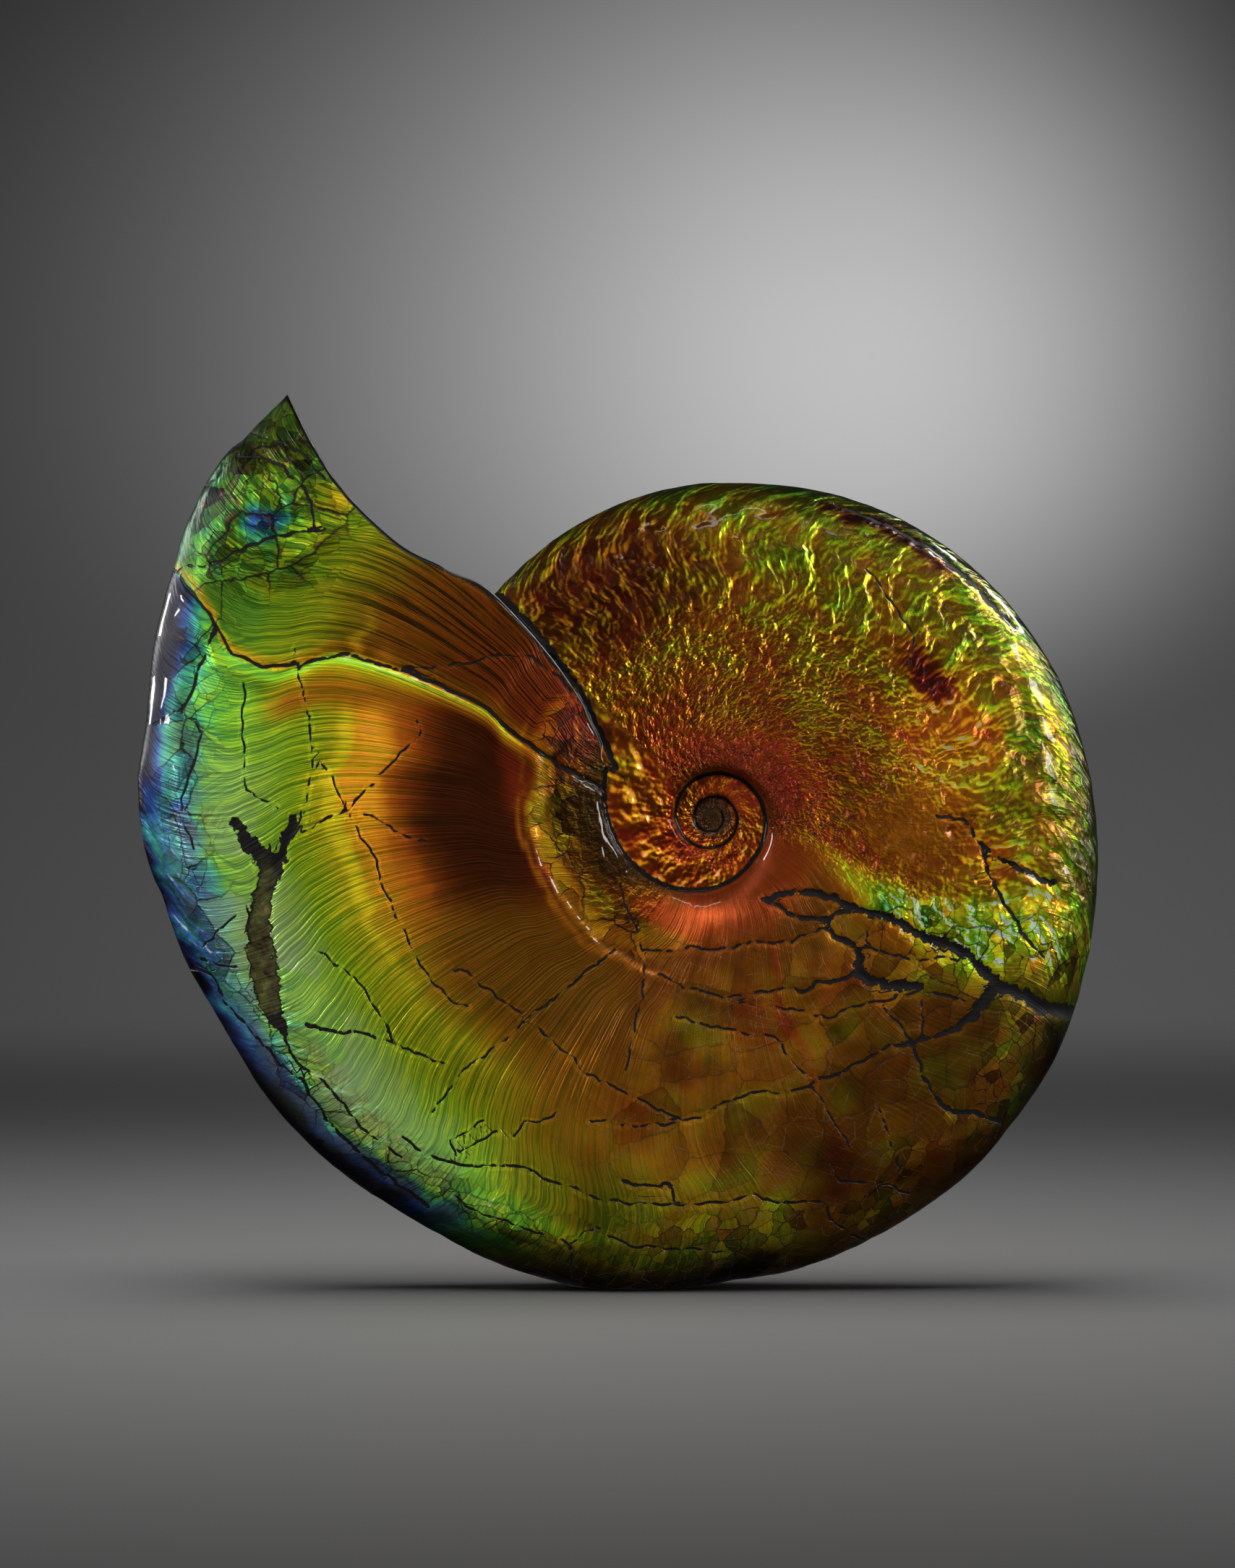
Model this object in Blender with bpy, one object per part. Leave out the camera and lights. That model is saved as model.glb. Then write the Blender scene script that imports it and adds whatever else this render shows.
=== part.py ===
"""A large iridescent ammonite fossil that stands upright on a small ground flat.

The shell is coiled in one plane. It is built as a polar grid about the centre of the coil: rays that bend
with the growth lines near the mouth, and rows that run from the centre over the flank, round the narrow outer
edge and back to the centre on the other side. The first ray is the lip of the mouth and the last ray lies one
turn further back, under the lip, so the strip between them is the mud face that fills the mouth.

Lengths are in millimetres and angles in degrees until the points are written in metres.
"""

import math

import bmesh
import bpy
import numpy as np
from mathutils import Vector, noise

MM = 0.001
TURN = 360.0

# The coil, seen from the front. Age is the angle back from the mouth, against the clock.
COIL_CENTRE_X = 48.6
COIL_CENTRE_Z = 243.8
MOUTH_ANGLE = 135.0
MOUTH_RADIUS = 310.9
GROWTH_PER_TURN = 1.94

# Where the outer edge departs from a true spiral: age, and radius over the spiral's radius.
EDGE_TRIM = [
    (-6, 0.985), (0, 0.999), (6, 1.015), (13, 1.033), (17, 1.033), (21, 1.027), (27, 1.027), (33, 1.022),
    (40, 1.034), (45, 1.037), (53, 1.022), (62, 1.016), (70, 1.006), (78, 1.012), (88, 1.010), (100, 1.003),
    (109, 1.010), (117, 1.001), (127, 1.000), (136, 0.997), (146, 1.006), (160, 1.004), (170, 1.006),
    (180, 0.998), (187, 0.997), (196, 0.989), (206, 0.979), (220, 0.973), (232, 0.976), (246, 0.984),
    (266, 0.991), (286, 0.994), (304, 0.992), (318, 1.001), (334, 1.005), (346, 1.005), (362, 1.007),
    (380, 1.003),
]

# The seam is the spiral line where each turn sits on the one before. It opens faster near the mouth.
SEAM_RADIUS_AT_HALF_TURN = 29.5
SEAM_SLOPE_INNER = 0.0021
SEAM_SLOPE_OUTER = 0.0044
HALF_TURN = 180.0

# Cross-section of a turn: half its width, the wall that climbs from the seam, and the lens of the flank.
HALF_WIDTH_AT_MOUTH = 46.0
THINNING = 0.00095
WALL_TURNS = 0.30
OLDEST_AGE = 980.0
LENS_POWER = 3.0
EDGE_POWER = 0.55
SMALLEST_RADIUS = 2.4

# The flat on which the fossil stands.
BASE_AGE = 123.5
BASE_SPREAD = 16.5
BASE_BULGE = 5.0
BASE_EDGE_POWER = 0.33
BASE_BLUNT_SPREAD = 26.0

# The lip of the mouth: radius, and how many degrees it lies behind the straight ray at that radius.
LIP_CURVE = [
    (0, 0.0), (30, 14.0), (56, 19.5), (68, 11.7), (80, 6.5), (96, 2.3), (124, -0.2), (155, -0.7), (186, 2.0),
    (218, 4.0), (252, 3.5), (280, 2.0), (311, 0.0),
]
LIP_FADE = 55.0
MOUTH_FACE_BULGE = 1.8
MOUTH_FACE_START = 50.0

# A former mouth edge, left as a ridge with a groove on its younger side: share of the radius, and age.
FORMER_LIP = [
    (0.20, 30.0), (0.29, 25.3), (0.37, 22.0), (0.42, 19.2), (0.56, 19.8), (0.67, 21.2), (0.74, 25.0),
    (0.80, 26.8), (0.86, 26.4), (0.91, 23.4), (1.00, 20.5),
]
FORMER_LIP_HEIGHT = 2.6
FORMER_LIP_CREST = 6.0
FORMER_LIP_SPREAD = 13.6
FORMER_LIP_GROOVE = 1.8
FORMER_LIP_GROOVE_PLACE = -1.5
FORMER_LIP_GROOVE_SPREAD = 7.5

# The ragged ledge round the umbilicus, where the outer shell layer has broken away.
LEDGE_AGES = (14.0, 128.0)
LEDGE_RADII = (92.0, 83.0)
LEDGE_DROP = 2.6
LEDGE_SLOPE = 9.0

# A low ledge along the outer edge at the lower left, where the flank's layer ends in a broken line.
RIM_LEDGE_AGES = (34.0, 122.0)
RIM_LEDGE_SHARE = 0.93
RIM_LEDGE_SLOPE = 0.03
RIM_LEDGE_DROP = 2.4

# Hammered lumps on the older part of the outer turn, and a soft swell everywhere.
LUMPS_FIRST_AGE = 186.0
LUMPS_FADE = 22.0
LUMP_SIZE = 21.0
LUMP_HEIGHT = 3.0
SWELL_SIZE = 70.0
SWELL_HEIGHT = 2.2
NOISE_GAIN = 1.7
FRONT_SEED = 3.0
BACK_SEED = 11.0

# Shares of the radius, or of a ledge's length, over which relief dies away at its borders.
EDGE_FADE = 0.16
FOLD_EDGE_FADE = 0.10
SEAM_FADE = 0.5
ROOF_FADE = 0.3
LEDGE_END_FADE = 0.17
THIN_EDGE = 8.0

# Main cracks of each face: radius, and the age at which the crack crosses that radius.
FRONT_CRACKS = [
    [(54, 178), (63, 187), (78, 191.5), (95, 193.8), (110, 195.6), (153, 195.5), (170, 194.4), (197, 194.9)],
]
BACK_CRACKS = [
    [(50, 250), (74, 243), (98, 240), (126, 236), (150, 231), (178, 229)],
    [(70, 84), (98, 80), (130, 78), (168, 72), (210, 70), (250, 63)],
]
CRACK_DEPTH = 4.6
CRACK_LEDGE = 2.4
CRACK_LEDGE_SPREAD = 30.0
CRACK_CATCH_ANGLE = 3.0

# Grid: rays round the coil, rings round the umbilicus, and rows from there to the outer edge.
RAY_COUNT = 96
RAY_CROWDING = 0.42
UMBILICUS_RINGS = [3.2, 6.6, 10.4, 14.6, 19.4, 25.0, 31.5, 39.5, 49.0, 60.0]
FLANK_STEPS = [0.11, 0.22, 0.34, 0.46, 0.58, 0.69, 0.79, 0.87, 0.93, 0.97, 0.991, 1.0]
MOUTH_COLUMNS = 5

SHELL_COLOUR = (0.17, 0.16, 0.03, 1.0)
SHELL_METALLIC = 0.35
SHELL_ROUGHNESS = 0.22


def along(points, value):
    """Read a hand-drawn curve, given as pairs, at any value, with rounded corners."""
    places = [first for first, second in points]
    sizes = [second for first, second in points]
    slopes = np.gradient(sizes, places)
    index = np.clip(np.searchsorted(places, value) - 1, 0, len(places) - 2)
    places = np.array(places, float)
    sizes = np.array(sizes, float)
    gap = places[index + 1] - places[index]
    s = np.clip((value - places[index]) / gap, 0.0, 1.0)
    leaving = (2 * s**3 - 3 * s**2 + 1) * sizes[index] + (s**3 - 2 * s**2 + s) * gap * slopes[index]
    arriving = (3 * s**2 - 2 * s**3) * sizes[index + 1] + (s**3 - s**2) * gap * slopes[index + 1]
    return leaving + arriving


def ease(value):
    """A soft step from 0 to 1."""
    value = np.clip(value, 0.0, 1.0)
    return value * value * (3.0 - 2.0 * value)


def near(value, centre, spread):
    """A soft bump of height 1 that has died away at one spread from its centre."""
    return 1.0 - ease(np.abs(value - centre) / spread)


def edge_radius(age):
    """Radius of the outer edge."""
    spiral = MOUTH_RADIUS * GROWTH_PER_TURN ** (-age / TURN) * along(EDGE_TRIM, age)
    return spiral + BASE_BULGE * near(age, BASE_AGE, BASE_SPREAD)


def seam_radius(age):
    """Radius of the seam, on any turn."""
    slope = np.where(age > HALF_TURN, SEAM_SLOPE_INNER, SEAM_SLOPE_OUTER)
    return SEAM_RADIUS_AT_HALF_TURN * np.exp(slope * (HALF_TURN - age))


def seam_age(radius):
    """Age at which the seam passes a radius."""
    stretch = np.log(radius / SEAM_RADIUS_AT_HALF_TURN)
    return HALF_TURN - stretch / np.where(stretch < 0, SEAM_SLOPE_INNER, SEAM_SLOPE_OUTER)


def widest(age):
    """Half the width of a turn at its shoulder. The oldest turns are buried in the mud at the centre."""
    return HALF_WIDTH_AT_MOUTH * np.exp(-THINNING * np.minimum(age, OLDEST_AGE))


def half_width(age, radius):
    """Distance of a turn's flank from the plane of the coil."""
    foot = seam_radius(age)
    shrunk = GROWTH_PER_TURN ** (-np.maximum(age - TURN, 0.0) / TURN)
    reach = np.clip((radius - foot) / (edge_radius(np.minimum(age, TURN)) * shrunk - foot), 0.0, 1.0)
    climb = np.clip((age - seam_age(radius)) / (TURN * WALL_TURNS), 0.0, 1.0)
    wall = widest(age) - (widest(age) - widest(age + TURN)) * (1.0 - climb) ** 2
    bluntness = EDGE_POWER + (BASE_EDGE_POWER - EDGE_POWER) * near(age, BASE_AGE, BASE_BLUNT_SPREAD)
    return wall * (1.0 - reach**LENS_POWER) ** bluntness


def lumps(x, z, size, seed):
    """Rounded noise between about -1 and 1."""
    flat = [noise.noise(Vector((a / size, seed, b / size))) for a, b in zip(x.ravel(), z.ravel())]
    return np.array(flat).reshape(x.shape) * NOISE_GAIN


def along_ledge(age, ages):
    """How strong a ledge is between its two ages: none at its ends, full in between."""
    part = (age - ages[0]) / (ages[1] - ages[0])
    return ease(part / LEDGE_END_FADE) * ease((1.0 - part) / LEDGE_END_FADE)


def former_lip(age, radius, share):
    """Ridge and groove of the former mouth edge."""
    behind = np.radians(age - along(FORMER_LIP, share)) * radius
    ridge = FORMER_LIP_HEIGHT * near(behind, FORMER_LIP_CREST, FORMER_LIP_SPREAD)
    groove = FORMER_LIP_GROOVE * near(behind, FORMER_LIP_GROOVE_PLACE, FORMER_LIP_GROOVE_SPREAD)
    return (ridge - groove) * ease((1.0 - share) / FOLD_EDGE_FADE)


def ledges(age, radius, share):
    """Drops inside the umbilical ledge and outside the ledge along the outer edge."""
    ledge_radius = np.interp(age, LEDGE_AGES, LEDGE_RADII)
    inside = ease((ledge_radius - radius) / LEDGE_SLOPE + 0.5) * along_ledge(age, LEDGE_AGES)
    outside = ease((share - RIM_LEDGE_SHARE) / RIM_LEDGE_SLOPE + 0.5) * along_ledge(age, RIM_LEDGE_AGES)
    return -LEDGE_DROP * inside - RIM_LEDGE_DROP * outside * ease((1.0 - share) / RIM_LEDGE_SLOPE)


def relief(age, radius, x, z, seed):
    """Height of all relief over the plain flank, none at the seams and the edge."""
    share = radius / edge_radius(np.minimum(age, TURN + LIP_FADE))
    hammered = LUMP_HEIGHT * lumps(x, z, LUMP_SIZE, seed) * ease((age - LUMPS_FIRST_AGE) / LUMPS_FADE)
    swell = SWELL_HEIGHT * lumps(x, z, SWELL_SIZE, seed + SWELL_SIZE)
    rough = (hammered + swell) * ease((1.0 - share) / EDGE_FADE)
    roof = np.where(age > TURN + LIP_FADE, seam_radius(age - TURN), 2.0 * radius)
    above_foot = ease((radius / seam_radius(age) - 1.0) / SEAM_FADE)
    below_roof = ease((roof / radius - 1.0) / ROOF_FADE)
    not_buried = 1.0 - ease((age - TURN) / TURN)
    whole = rough + former_lip(age, radius, share) + ledges(age, radius, share)
    return whole * above_foot * below_roof * not_buried


def lip_offset(radius, age):
    """Degrees by which a ray bends from a straight line, full at the mouth and none half-way round."""
    just_behind = 1.0 - ease(age / LIP_FADE)
    one_turn_back = ease((age - TURN) / LIP_FADE + 1.0)
    return along(LIP_CURVE, radius) * np.maximum(just_behind, one_turn_back)


def ray_ages():
    """Ages of the rays, a little denser at the mouth, where the coil is widest."""
    share = np.linspace(0.0, 1.0, RAY_COUNT + 1)
    return TURN * (np.exp(RAY_CROWDING * share) - 1.0) / (math.exp(RAY_CROWDING) - 1.0)


def sink_cracks(cracks, ages, radius, depth):
    """Pull the nearest vertex of each row on to each crack and sink it, beside a low ledge."""
    for crack in cracks:
        first, last = crack[0][0], crack[-1][0]
        for row in range(radius.shape[1]):
            reach = radius[:, row]
            crossing = along(crack, reach)
            on_crack = (reach >= first) & (reach <= last)
            distance = np.where(on_crack, np.abs(ages[:, row] - crossing), TURN)
            place = int(np.argmin(distance))
            if distance[place] > CRACK_CATCH_ANGLE:
                continue
            ahead = np.radians(crossing - ages[:, row]) * reach
            young = on_crack & (ahead > 0) & (ahead < CRACK_LEDGE_SPREAD)
            depth[young, row] += CRACK_LEDGE * (1.0 - ahead[young] / CRACK_LEDGE_SPREAD)
            ages[place, row] = crossing[place]
            depth[place, row] -= CRACK_DEPTH


def face_points(side, seed, cracks):
    """Points of one face from the innermost ring to the outer edge, as rays by rows."""
    base = ray_ages()[:, None]
    rings = np.array(UMBILICUS_RINGS)[None, :]
    steps = np.array(FLANK_STEPS)[None, :]
    inner = rings[0, -1]
    guess = inner + (edge_radius(base) - inner) * steps
    flank_age = base + lip_offset(guess, base)
    flank_radius = inner + (edge_radius(flank_age) - inner) * steps

    ring_radius = np.repeat(rings, RAY_COUNT + 1, axis=0)
    ring_age = base + lip_offset(ring_radius, base)
    to_seam = seam_age(np.maximum(ring_radius, SMALLEST_RADIUS)) - ring_age
    covering = ring_age + TURN * np.maximum(np.ceil(to_seam / TURN), 0.0)

    radius = np.concatenate([ring_radius, flank_radius], axis=1)
    age = np.concatenate([covering, flank_age], axis=1)
    angle_age = np.concatenate([ring_age, flank_age], axis=1)
    depth = half_width(age, np.maximum(radius, SMALLEST_RADIUS))
    shape = np.zeros_like(depth)
    sink_cracks(cracks, angle_age, radius, shape)
    turn = np.radians(MOUTH_ANGLE + angle_age)
    x = COIL_CENTRE_X + radius * np.cos(turn)
    z = COIL_CENTRE_Z + radius * np.sin(turn)
    shape += relief(age, radius, x, z, seed)
    shape[:, -1] = 0.0
    depth = np.maximum(depth + shape * ease(depth / THIN_EDGE), 0.0)
    shared = len(UMBILICUS_RINGS)
    for grid in (x, z, depth):
        grid[-1, :shared] = grid[0, :shared]
    return np.stack([x, side * depth, np.maximum(z, 0.0)], axis=-1)


def mouth_points(first_ray, last_ray):
    """Columns of the mud face between the older turn, under the lip, and the lip itself."""
    centre = np.array([COIL_CENTRE_X, 0.0, COIL_CENTRE_Z])
    lip_radius = np.hypot(*(first_ray - centre)[:, [0, 2]].T)
    old_radius = np.hypot(*(last_ray - centre)[:, [0, 2]].T)
    columns = []
    for number in range(1, MOUTH_COLUMNS + 1):
        share = number / (MOUTH_COLUMNS + 1.0)
        radius = old_radius + (lip_radius - old_radius) * share
        depth = last_ray[:, 1] + (first_ray[:, 1] - last_ray[:, 1]) * share
        opening = (radius - old_radius.max()) / MOUTH_FACE_START
        bulge = MOUTH_FACE_BULGE * 4.0 * share * (1.0 - share) * ease(opening)
        turn = np.radians(MOUTH_ANGLE + along(LIP_CURVE, radius)) - bulge / radius
        x = COIL_CENTRE_X + radius * np.cos(turn)
        z = COIL_CENTRE_Z + radius * np.sin(turn)
        columns.append(np.stack([x, depth, z], axis=-1))
    return columns


def build_shell(name):
    """The whole fossil as one closed mesh."""
    front = face_points(-1.0, FRONT_SEED, FRONT_CRACKS)
    back = face_points(1.0, BACK_SEED, BACK_CRACKS)
    across = np.concatenate([front, back[:, -2::-1]], axis=1)
    shared = len(UMBILICUS_RINGS)
    rows = across.shape[1]

    mesh = bmesh.new()
    rays = [[mesh.verts.new(point * MM) for point in ray] for ray in across[:-1]]
    last = list(rays[0])
    for row in range(shared, rows - shared):
        last[row] = mesh.verts.new(across[-1, row] * MM)
    rays.append(last)
    for ray, following in zip(rays, rays[1:]):
        for row in range(rows - 1):
            mesh.faces.new((ray[row], ray[row + 1], following[row + 1], following[row]))

    open_rows = slice(shared, rows - shared)
    strip = [last[open_rows]]
    for column in mouth_points(across[0, open_rows], across[-1, open_rows]):
        strip.append([mesh.verts.new(point * MM) for point in column])
    strip.append(rays[0][open_rows])
    for column, following in zip(strip, strip[1:]):
        for lower, upper in zip(range(len(column)), range(1, len(column))):
            mesh.faces.new((column[lower], column[upper], following[upper], following[lower]))
    for end, foot in ((0, shared - 1), (-1, rows - shared)):
        mesh.faces.new([rays[0][foot]] + [column[end] for column in strip])

    for row, side in ((0, -1.0), (rows - 1, 1.0)):
        centre = (COIL_CENTRE_X, side * float(widest(OLDEST_AGE)), COIL_CENTRE_Z)
        pole = mesh.verts.new(Vector(centre) * MM)
        for ray, following in zip(rays, rays[1:]):
            mesh.faces.new((pole, ray[row], following[row]))
    bmesh.ops.triangulate(mesh, faces=[face for face in mesh.faces if len(face.verts) > 4])
    bmesh.ops.recalc_face_normals(mesh, faces=mesh.faces)
    data = bpy.data.meshes.new(name)
    mesh.to_mesh(data)
    mesh.free()
    data.shade_smooth()
    shell = bpy.data.objects.new(name, data)
    bpy.context.collection.objects.link(shell)
    return shell


def shell_material():
    """Glossy iridescent shell."""
    material = bpy.data.materials.new("iridescent shell")
    material.use_nodes = True
    surface = material.node_tree.nodes["Principled BSDF"]
    surface.inputs["Base Color"].default_value = SHELL_COLOUR
    surface.inputs["Metallic"].default_value = SHELL_METALLIC
    surface.inputs["Roughness"].default_value = SHELL_ROUGHNESS
    material.diffuse_color = SHELL_COLOUR
    return material


def main():
    """Clear the scene and model the fossil."""
    for item in list(bpy.data.objects):
        bpy.data.objects.remove(item)
    shell = build_shell("ammonite")
    shell.data.materials.append(shell_material())


main()
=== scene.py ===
# %% [markdown]
# # A large iridescent ammonite, step by step
# The fossil is one flat coil of shell, half a metre wide, polished until its mother-of-pearl shows red,
# gold, green and blue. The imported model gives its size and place. This lesson grows a finer surface round
# the same spiral with Geometry Nodes, paints it with nodes and lights it in a plain studio.

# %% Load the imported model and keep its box
import math

import bmesh
import bpy
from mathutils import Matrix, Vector


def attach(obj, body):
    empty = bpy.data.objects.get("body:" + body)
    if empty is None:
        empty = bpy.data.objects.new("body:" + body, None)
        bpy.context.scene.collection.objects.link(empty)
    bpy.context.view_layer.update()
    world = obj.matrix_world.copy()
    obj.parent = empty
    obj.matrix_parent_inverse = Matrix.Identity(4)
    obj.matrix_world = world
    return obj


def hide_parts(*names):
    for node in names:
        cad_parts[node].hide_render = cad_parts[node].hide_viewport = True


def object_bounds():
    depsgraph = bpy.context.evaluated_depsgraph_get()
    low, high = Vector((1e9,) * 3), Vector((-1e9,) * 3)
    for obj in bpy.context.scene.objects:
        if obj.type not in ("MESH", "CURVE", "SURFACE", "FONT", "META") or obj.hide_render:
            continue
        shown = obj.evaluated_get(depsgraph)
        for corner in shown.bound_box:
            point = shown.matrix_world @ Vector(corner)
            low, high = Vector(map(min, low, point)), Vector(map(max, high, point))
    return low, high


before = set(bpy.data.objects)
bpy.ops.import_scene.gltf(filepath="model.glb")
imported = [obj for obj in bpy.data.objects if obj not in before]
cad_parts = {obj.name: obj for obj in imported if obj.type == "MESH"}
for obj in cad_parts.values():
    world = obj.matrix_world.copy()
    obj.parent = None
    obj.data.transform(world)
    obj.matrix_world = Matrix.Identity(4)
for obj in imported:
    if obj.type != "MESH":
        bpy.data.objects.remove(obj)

cad_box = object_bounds()
print("packed model, metres:", [round(high - low, 4) for low, high in zip(*cad_box)])

# %% [markdown]
# ## Formulas that lay nodes
# A spiral shell is a page of arithmetic, and as single nodes that page can't be read. So one small class
# wraps a socket and takes part in Python sums: every operator lays a Math node. All other nodes come from
# one method, which takes a node's type, then its settings, then what goes into its sockets. Geometry and
# materials share both.

# %% Sockets in formulas
class Wire:
    """One output socket that can stand in a formula."""

    def __init__(self, board, socket):
        self.board = board
        self.socket = socket

    def also(self, name):
        """Another output of the same node."""
        return Wire(self.board, self.socket.node.outputs[name])

    def math(self, operation, *others):
        """A Math node with this socket first."""
        return self.board.math(operation, self, *others)

    def __add__(self, other):
        return self.math("ADD", other)

    def __sub__(self, other):
        return self.math("SUBTRACT", other)

    def __rsub__(self, other):
        return self.board.math("SUBTRACT", other, self)

    def __mul__(self, other):
        return self.math("MULTIPLY", other)

    def __truediv__(self, other):
        return self.math("DIVIDE", other)

    def __pow__(self, other):
        return self.math("POWER", other)

    def __rpow__(self, other):
        return self.board.math("POWER", other, self)

    def __gt__(self, other):
        return self.math("GREATER_THAN", other)

    def __lt__(self, other):
        return self.math("LESS_THAN", other)

    __radd__ = __add__
    __rmul__ = __mul__


print("sockets can stand in formulas")

# %% A board that adds any node
class Board:
    """A node tree, with one method that adds any node."""

    def __init__(self, tree):
        self.tree = tree
        self.count = 0

    def node(self, kind, settings=None, values=None, output=0):
        """Add a node: its type, its settings, what goes into its sockets, and the output to hand back."""
        made = self.tree.nodes.new(kind)
        self.count += 1
        for name, setting in (settings or {}).items():
            if name == "stops":
                set_stops(made.color_ramp, setting)
            elif name == "points":
                set_points(made.mapping, setting)
            else:
                setattr(made, name, setting)
        for place, value in (values or {}).items():
            socket = made.inputs[place]
            for single in value if isinstance(value, list) else [value]:
                if isinstance(single, Wire):
                    self.tree.links.new(single.socket, socket)
                else:
                    socket.default_value = single
        return Wire(self, made.outputs[output]) if made.outputs else made

    def math(self, operation, *values):
        """A Math node."""
        return self.node("ShaderNodeMath", {"operation": operation}, dict(enumerate(values)))


def set_stops(ramp, stops):
    """Fill a colour ramp from pairs of place and colour."""
    while len(ramp.elements) > 1:
        ramp.elements.remove(ramp.elements[0])
    ramp.elements[0].position = stops[0][0]
    ramp.elements[0].color = (*stops[0][1], 1.0)
    for place, colour in stops[1:]:
        ramp.elements.new(place).color = (*colour, 1.0)


def set_points(mapping, points):
    """Fill a float curve from pairs of numbers between 0 and 1."""
    curve = mapping.curves[0]
    curve.points[0].location = points[0]
    curve.points[1].location = points[-1]
    for point in points[1:-1]:
        curve.points.new(*point)
    for point in curve.points:
        point.handle_type = "AUTO_CLAMPED"
    mapping.update()


print("nodes can now be laid by formulas and by Board.node")

# %% [markdown]
# ## Shorthand for common curves
# Drawn lines come back all through this object: the outline, the lip, the bands of colour. Each is a
# short list of pairs that a Float Curve node reads, scaled to fit its square. Soft steps and soft bumps
# do the rest.

# %% Soft steps, bumps and drawn curves
def ease(value):
    """A soft step from 0 to 1 as the value goes from 0 to 1."""
    return value.board.node("ShaderNodeMapRange", {"interpolation_type": "SMOOTHSTEP"}, {0: value})


def near(value, centre, spread):
    """A soft bump of height 1 that has died away at one spread from its centre."""
    return 1.0 - ease((value - centre).math("ABSOLUTE") / spread)


def clip(value, low=0.0, high=1.0):
    """The value, held between two limits."""
    return value.math("MAXIMUM", low).math("MINIMUM", high)


def mix(share, first, second):
    """Blend two numbers."""
    board = share.board
    return board.node("ShaderNodeMix", {"data_type": "FLOAT"}, {0: share, 2: first, 3: second})


def along(points, value):
    """Read a drawn curve, given as pairs."""
    places, sizes = zip(*points)
    start, length = places[0], places[-1] - places[0]
    low, height = min(sizes), max(sizes) - min(sizes)
    square = [((place - start) / length, (size - low) / height) for place, size in points]
    inputs = {0: 1.0, 1: (value - start) / length}
    read = value.board.node("ShaderNodeFloatCurve", {"points": square}, inputs)
    return read * height + low


print("shorthand ready: soft steps, soft bumps and drawn curves")

# %% Vectors, noise and cells
def vector(x, y, z):
    """Three numbers joined to a vector."""
    board = next(part.board for part in (x, y, z) if isinstance(part, Wire))
    return board.node("ShaderNodeCombineXYZ", values={0: x, 1: y, 2: z})


def parts(wire):
    """The three numbers of a vector."""
    split = wire.board.node("ShaderNodeSeparateXYZ", values={0: wire})
    return split, split.also("Y"), split.also("Z")


def cloud(place, size=1.0, detail=2.0, roughness=0.5, output=0, dimensions="3D"):
    """Smooth noise between 0 and 1, with features of about the given size."""
    values = {"Vector": place, "Scale": 1.0 / size, "Detail": detail, "Roughness": roughness}
    return place.board.node("ShaderNodeTexNoise", {"noise_dimensions": dimensions}, values, output)


def flat_cloud(place, size, detail=2.0, roughness=0.5, output=0):
    """Noise on a flat map, which takes half the time of noise in space."""
    return cloud(place, size, detail, roughness, output, "2D")


def flat_cells(place, size, feature="F1", output=0):
    """Cells of about the given size on a flat map."""
    settings = {"feature": feature, "voronoi_dimensions": "2D"}
    inputs = {"Vector": place, "Scale": 1.0 / size}
    return place.board.node("ShaderNodeTexVoronoi", settings, inputs, output)


def scaled(wire, amount):
    """A vector or a colour times a number."""
    return wire.board.node("ShaderNodeVectorMath", {"operation": "SCALE"}, {0: wire, "Scale": amount})


def plus(wire, other):
    """The sum of two vectors."""
    return wire.board.node("ShaderNodeVectorMath", {"operation": "ADD"}, {0: wire, 1: other})


def away(wire, place):
    """The arrow from a place to the wire's place."""
    return wire.board.node("ShaderNodeVectorMath", {"operation": "SUBTRACT"}, {0: wire, 1: place})


HALVES = (0.5, 0.5, 0.5)


def jittered(wire, size, reach):
    """A place on a flat map moved about by noise, by up to half the reach."""
    return plus(wire, scaled(away(flat_cloud(wire, size, 3.0, 0.6, output=1), HALVES), reach))


print("shorthand ready: vectors, noise and cells")

# %% [markdown]
# ## The spiral in numbers
# A shell like this grows by the same share each turn, so its outer edge is a logarithmic spiral. Age, the
# angle back from the mouth, is the natural clock of the shell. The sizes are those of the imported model,
# and the short lists say where the real edge and the real lip leave the ideal line. Lengths are in
# millimetres and angles in degrees.

# %% Sizes of the coil
MM = 0.001
DEGREE = math.radians(1.0)
TURN = 360.0
HALF_TURN = 180.0
COIL_CENTRE_X = 48.6
COIL_CENTRE_Z = 243.8
MOUTH_ANGLE = 135.0
MOUTH_RADIUS = 310.9
GROWTH_PER_TURN = 1.94
EDGE_TRIM = [
    (-6, 0.985), (0, 0.999), (6, 1.015), (13, 1.033), (17, 1.033), (21, 1.027), (27, 1.027), (33, 1.022),
    (40, 1.034), (45, 1.037), (53, 1.022), (62, 1.016), (70, 1.006), (78, 1.012), (88, 1.010),
    (100, 1.003), (109, 1.010), (117, 1.001), (127, 1.000), (136, 0.997), (146, 1.006), (160, 1.004),
    (170, 1.006), (180, 0.998), (187, 0.997), (196, 0.989), (206, 0.979), (220, 0.973), (232, 0.976),
    (246, 0.984), (266, 0.991), (286, 0.994), (304, 0.992), (318, 1.001), (334, 1.005), (346, 1.005),
    (362, 1.007), (380, 1.003),
]
SEAM_RADIUS_AT_HALF_TURN = 29.5
SEAM_SLOPE_INNER = 0.0021
SEAM_SLOPE_OUTER = 0.0044
HALF_WIDTH_AT_MOUTH = 46.0
THINNING = 0.00095
WALL_TURNS = 0.30
OLDEST_AGE = 980.0
LENS_POWER = 3.0
EDGE_POWER = 0.55
SMALLEST_RADIUS = 2.4
BASE_AGE = 123.5
BASE_SPREAD = 16.5
BASE_BULGE = 5.0
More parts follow.
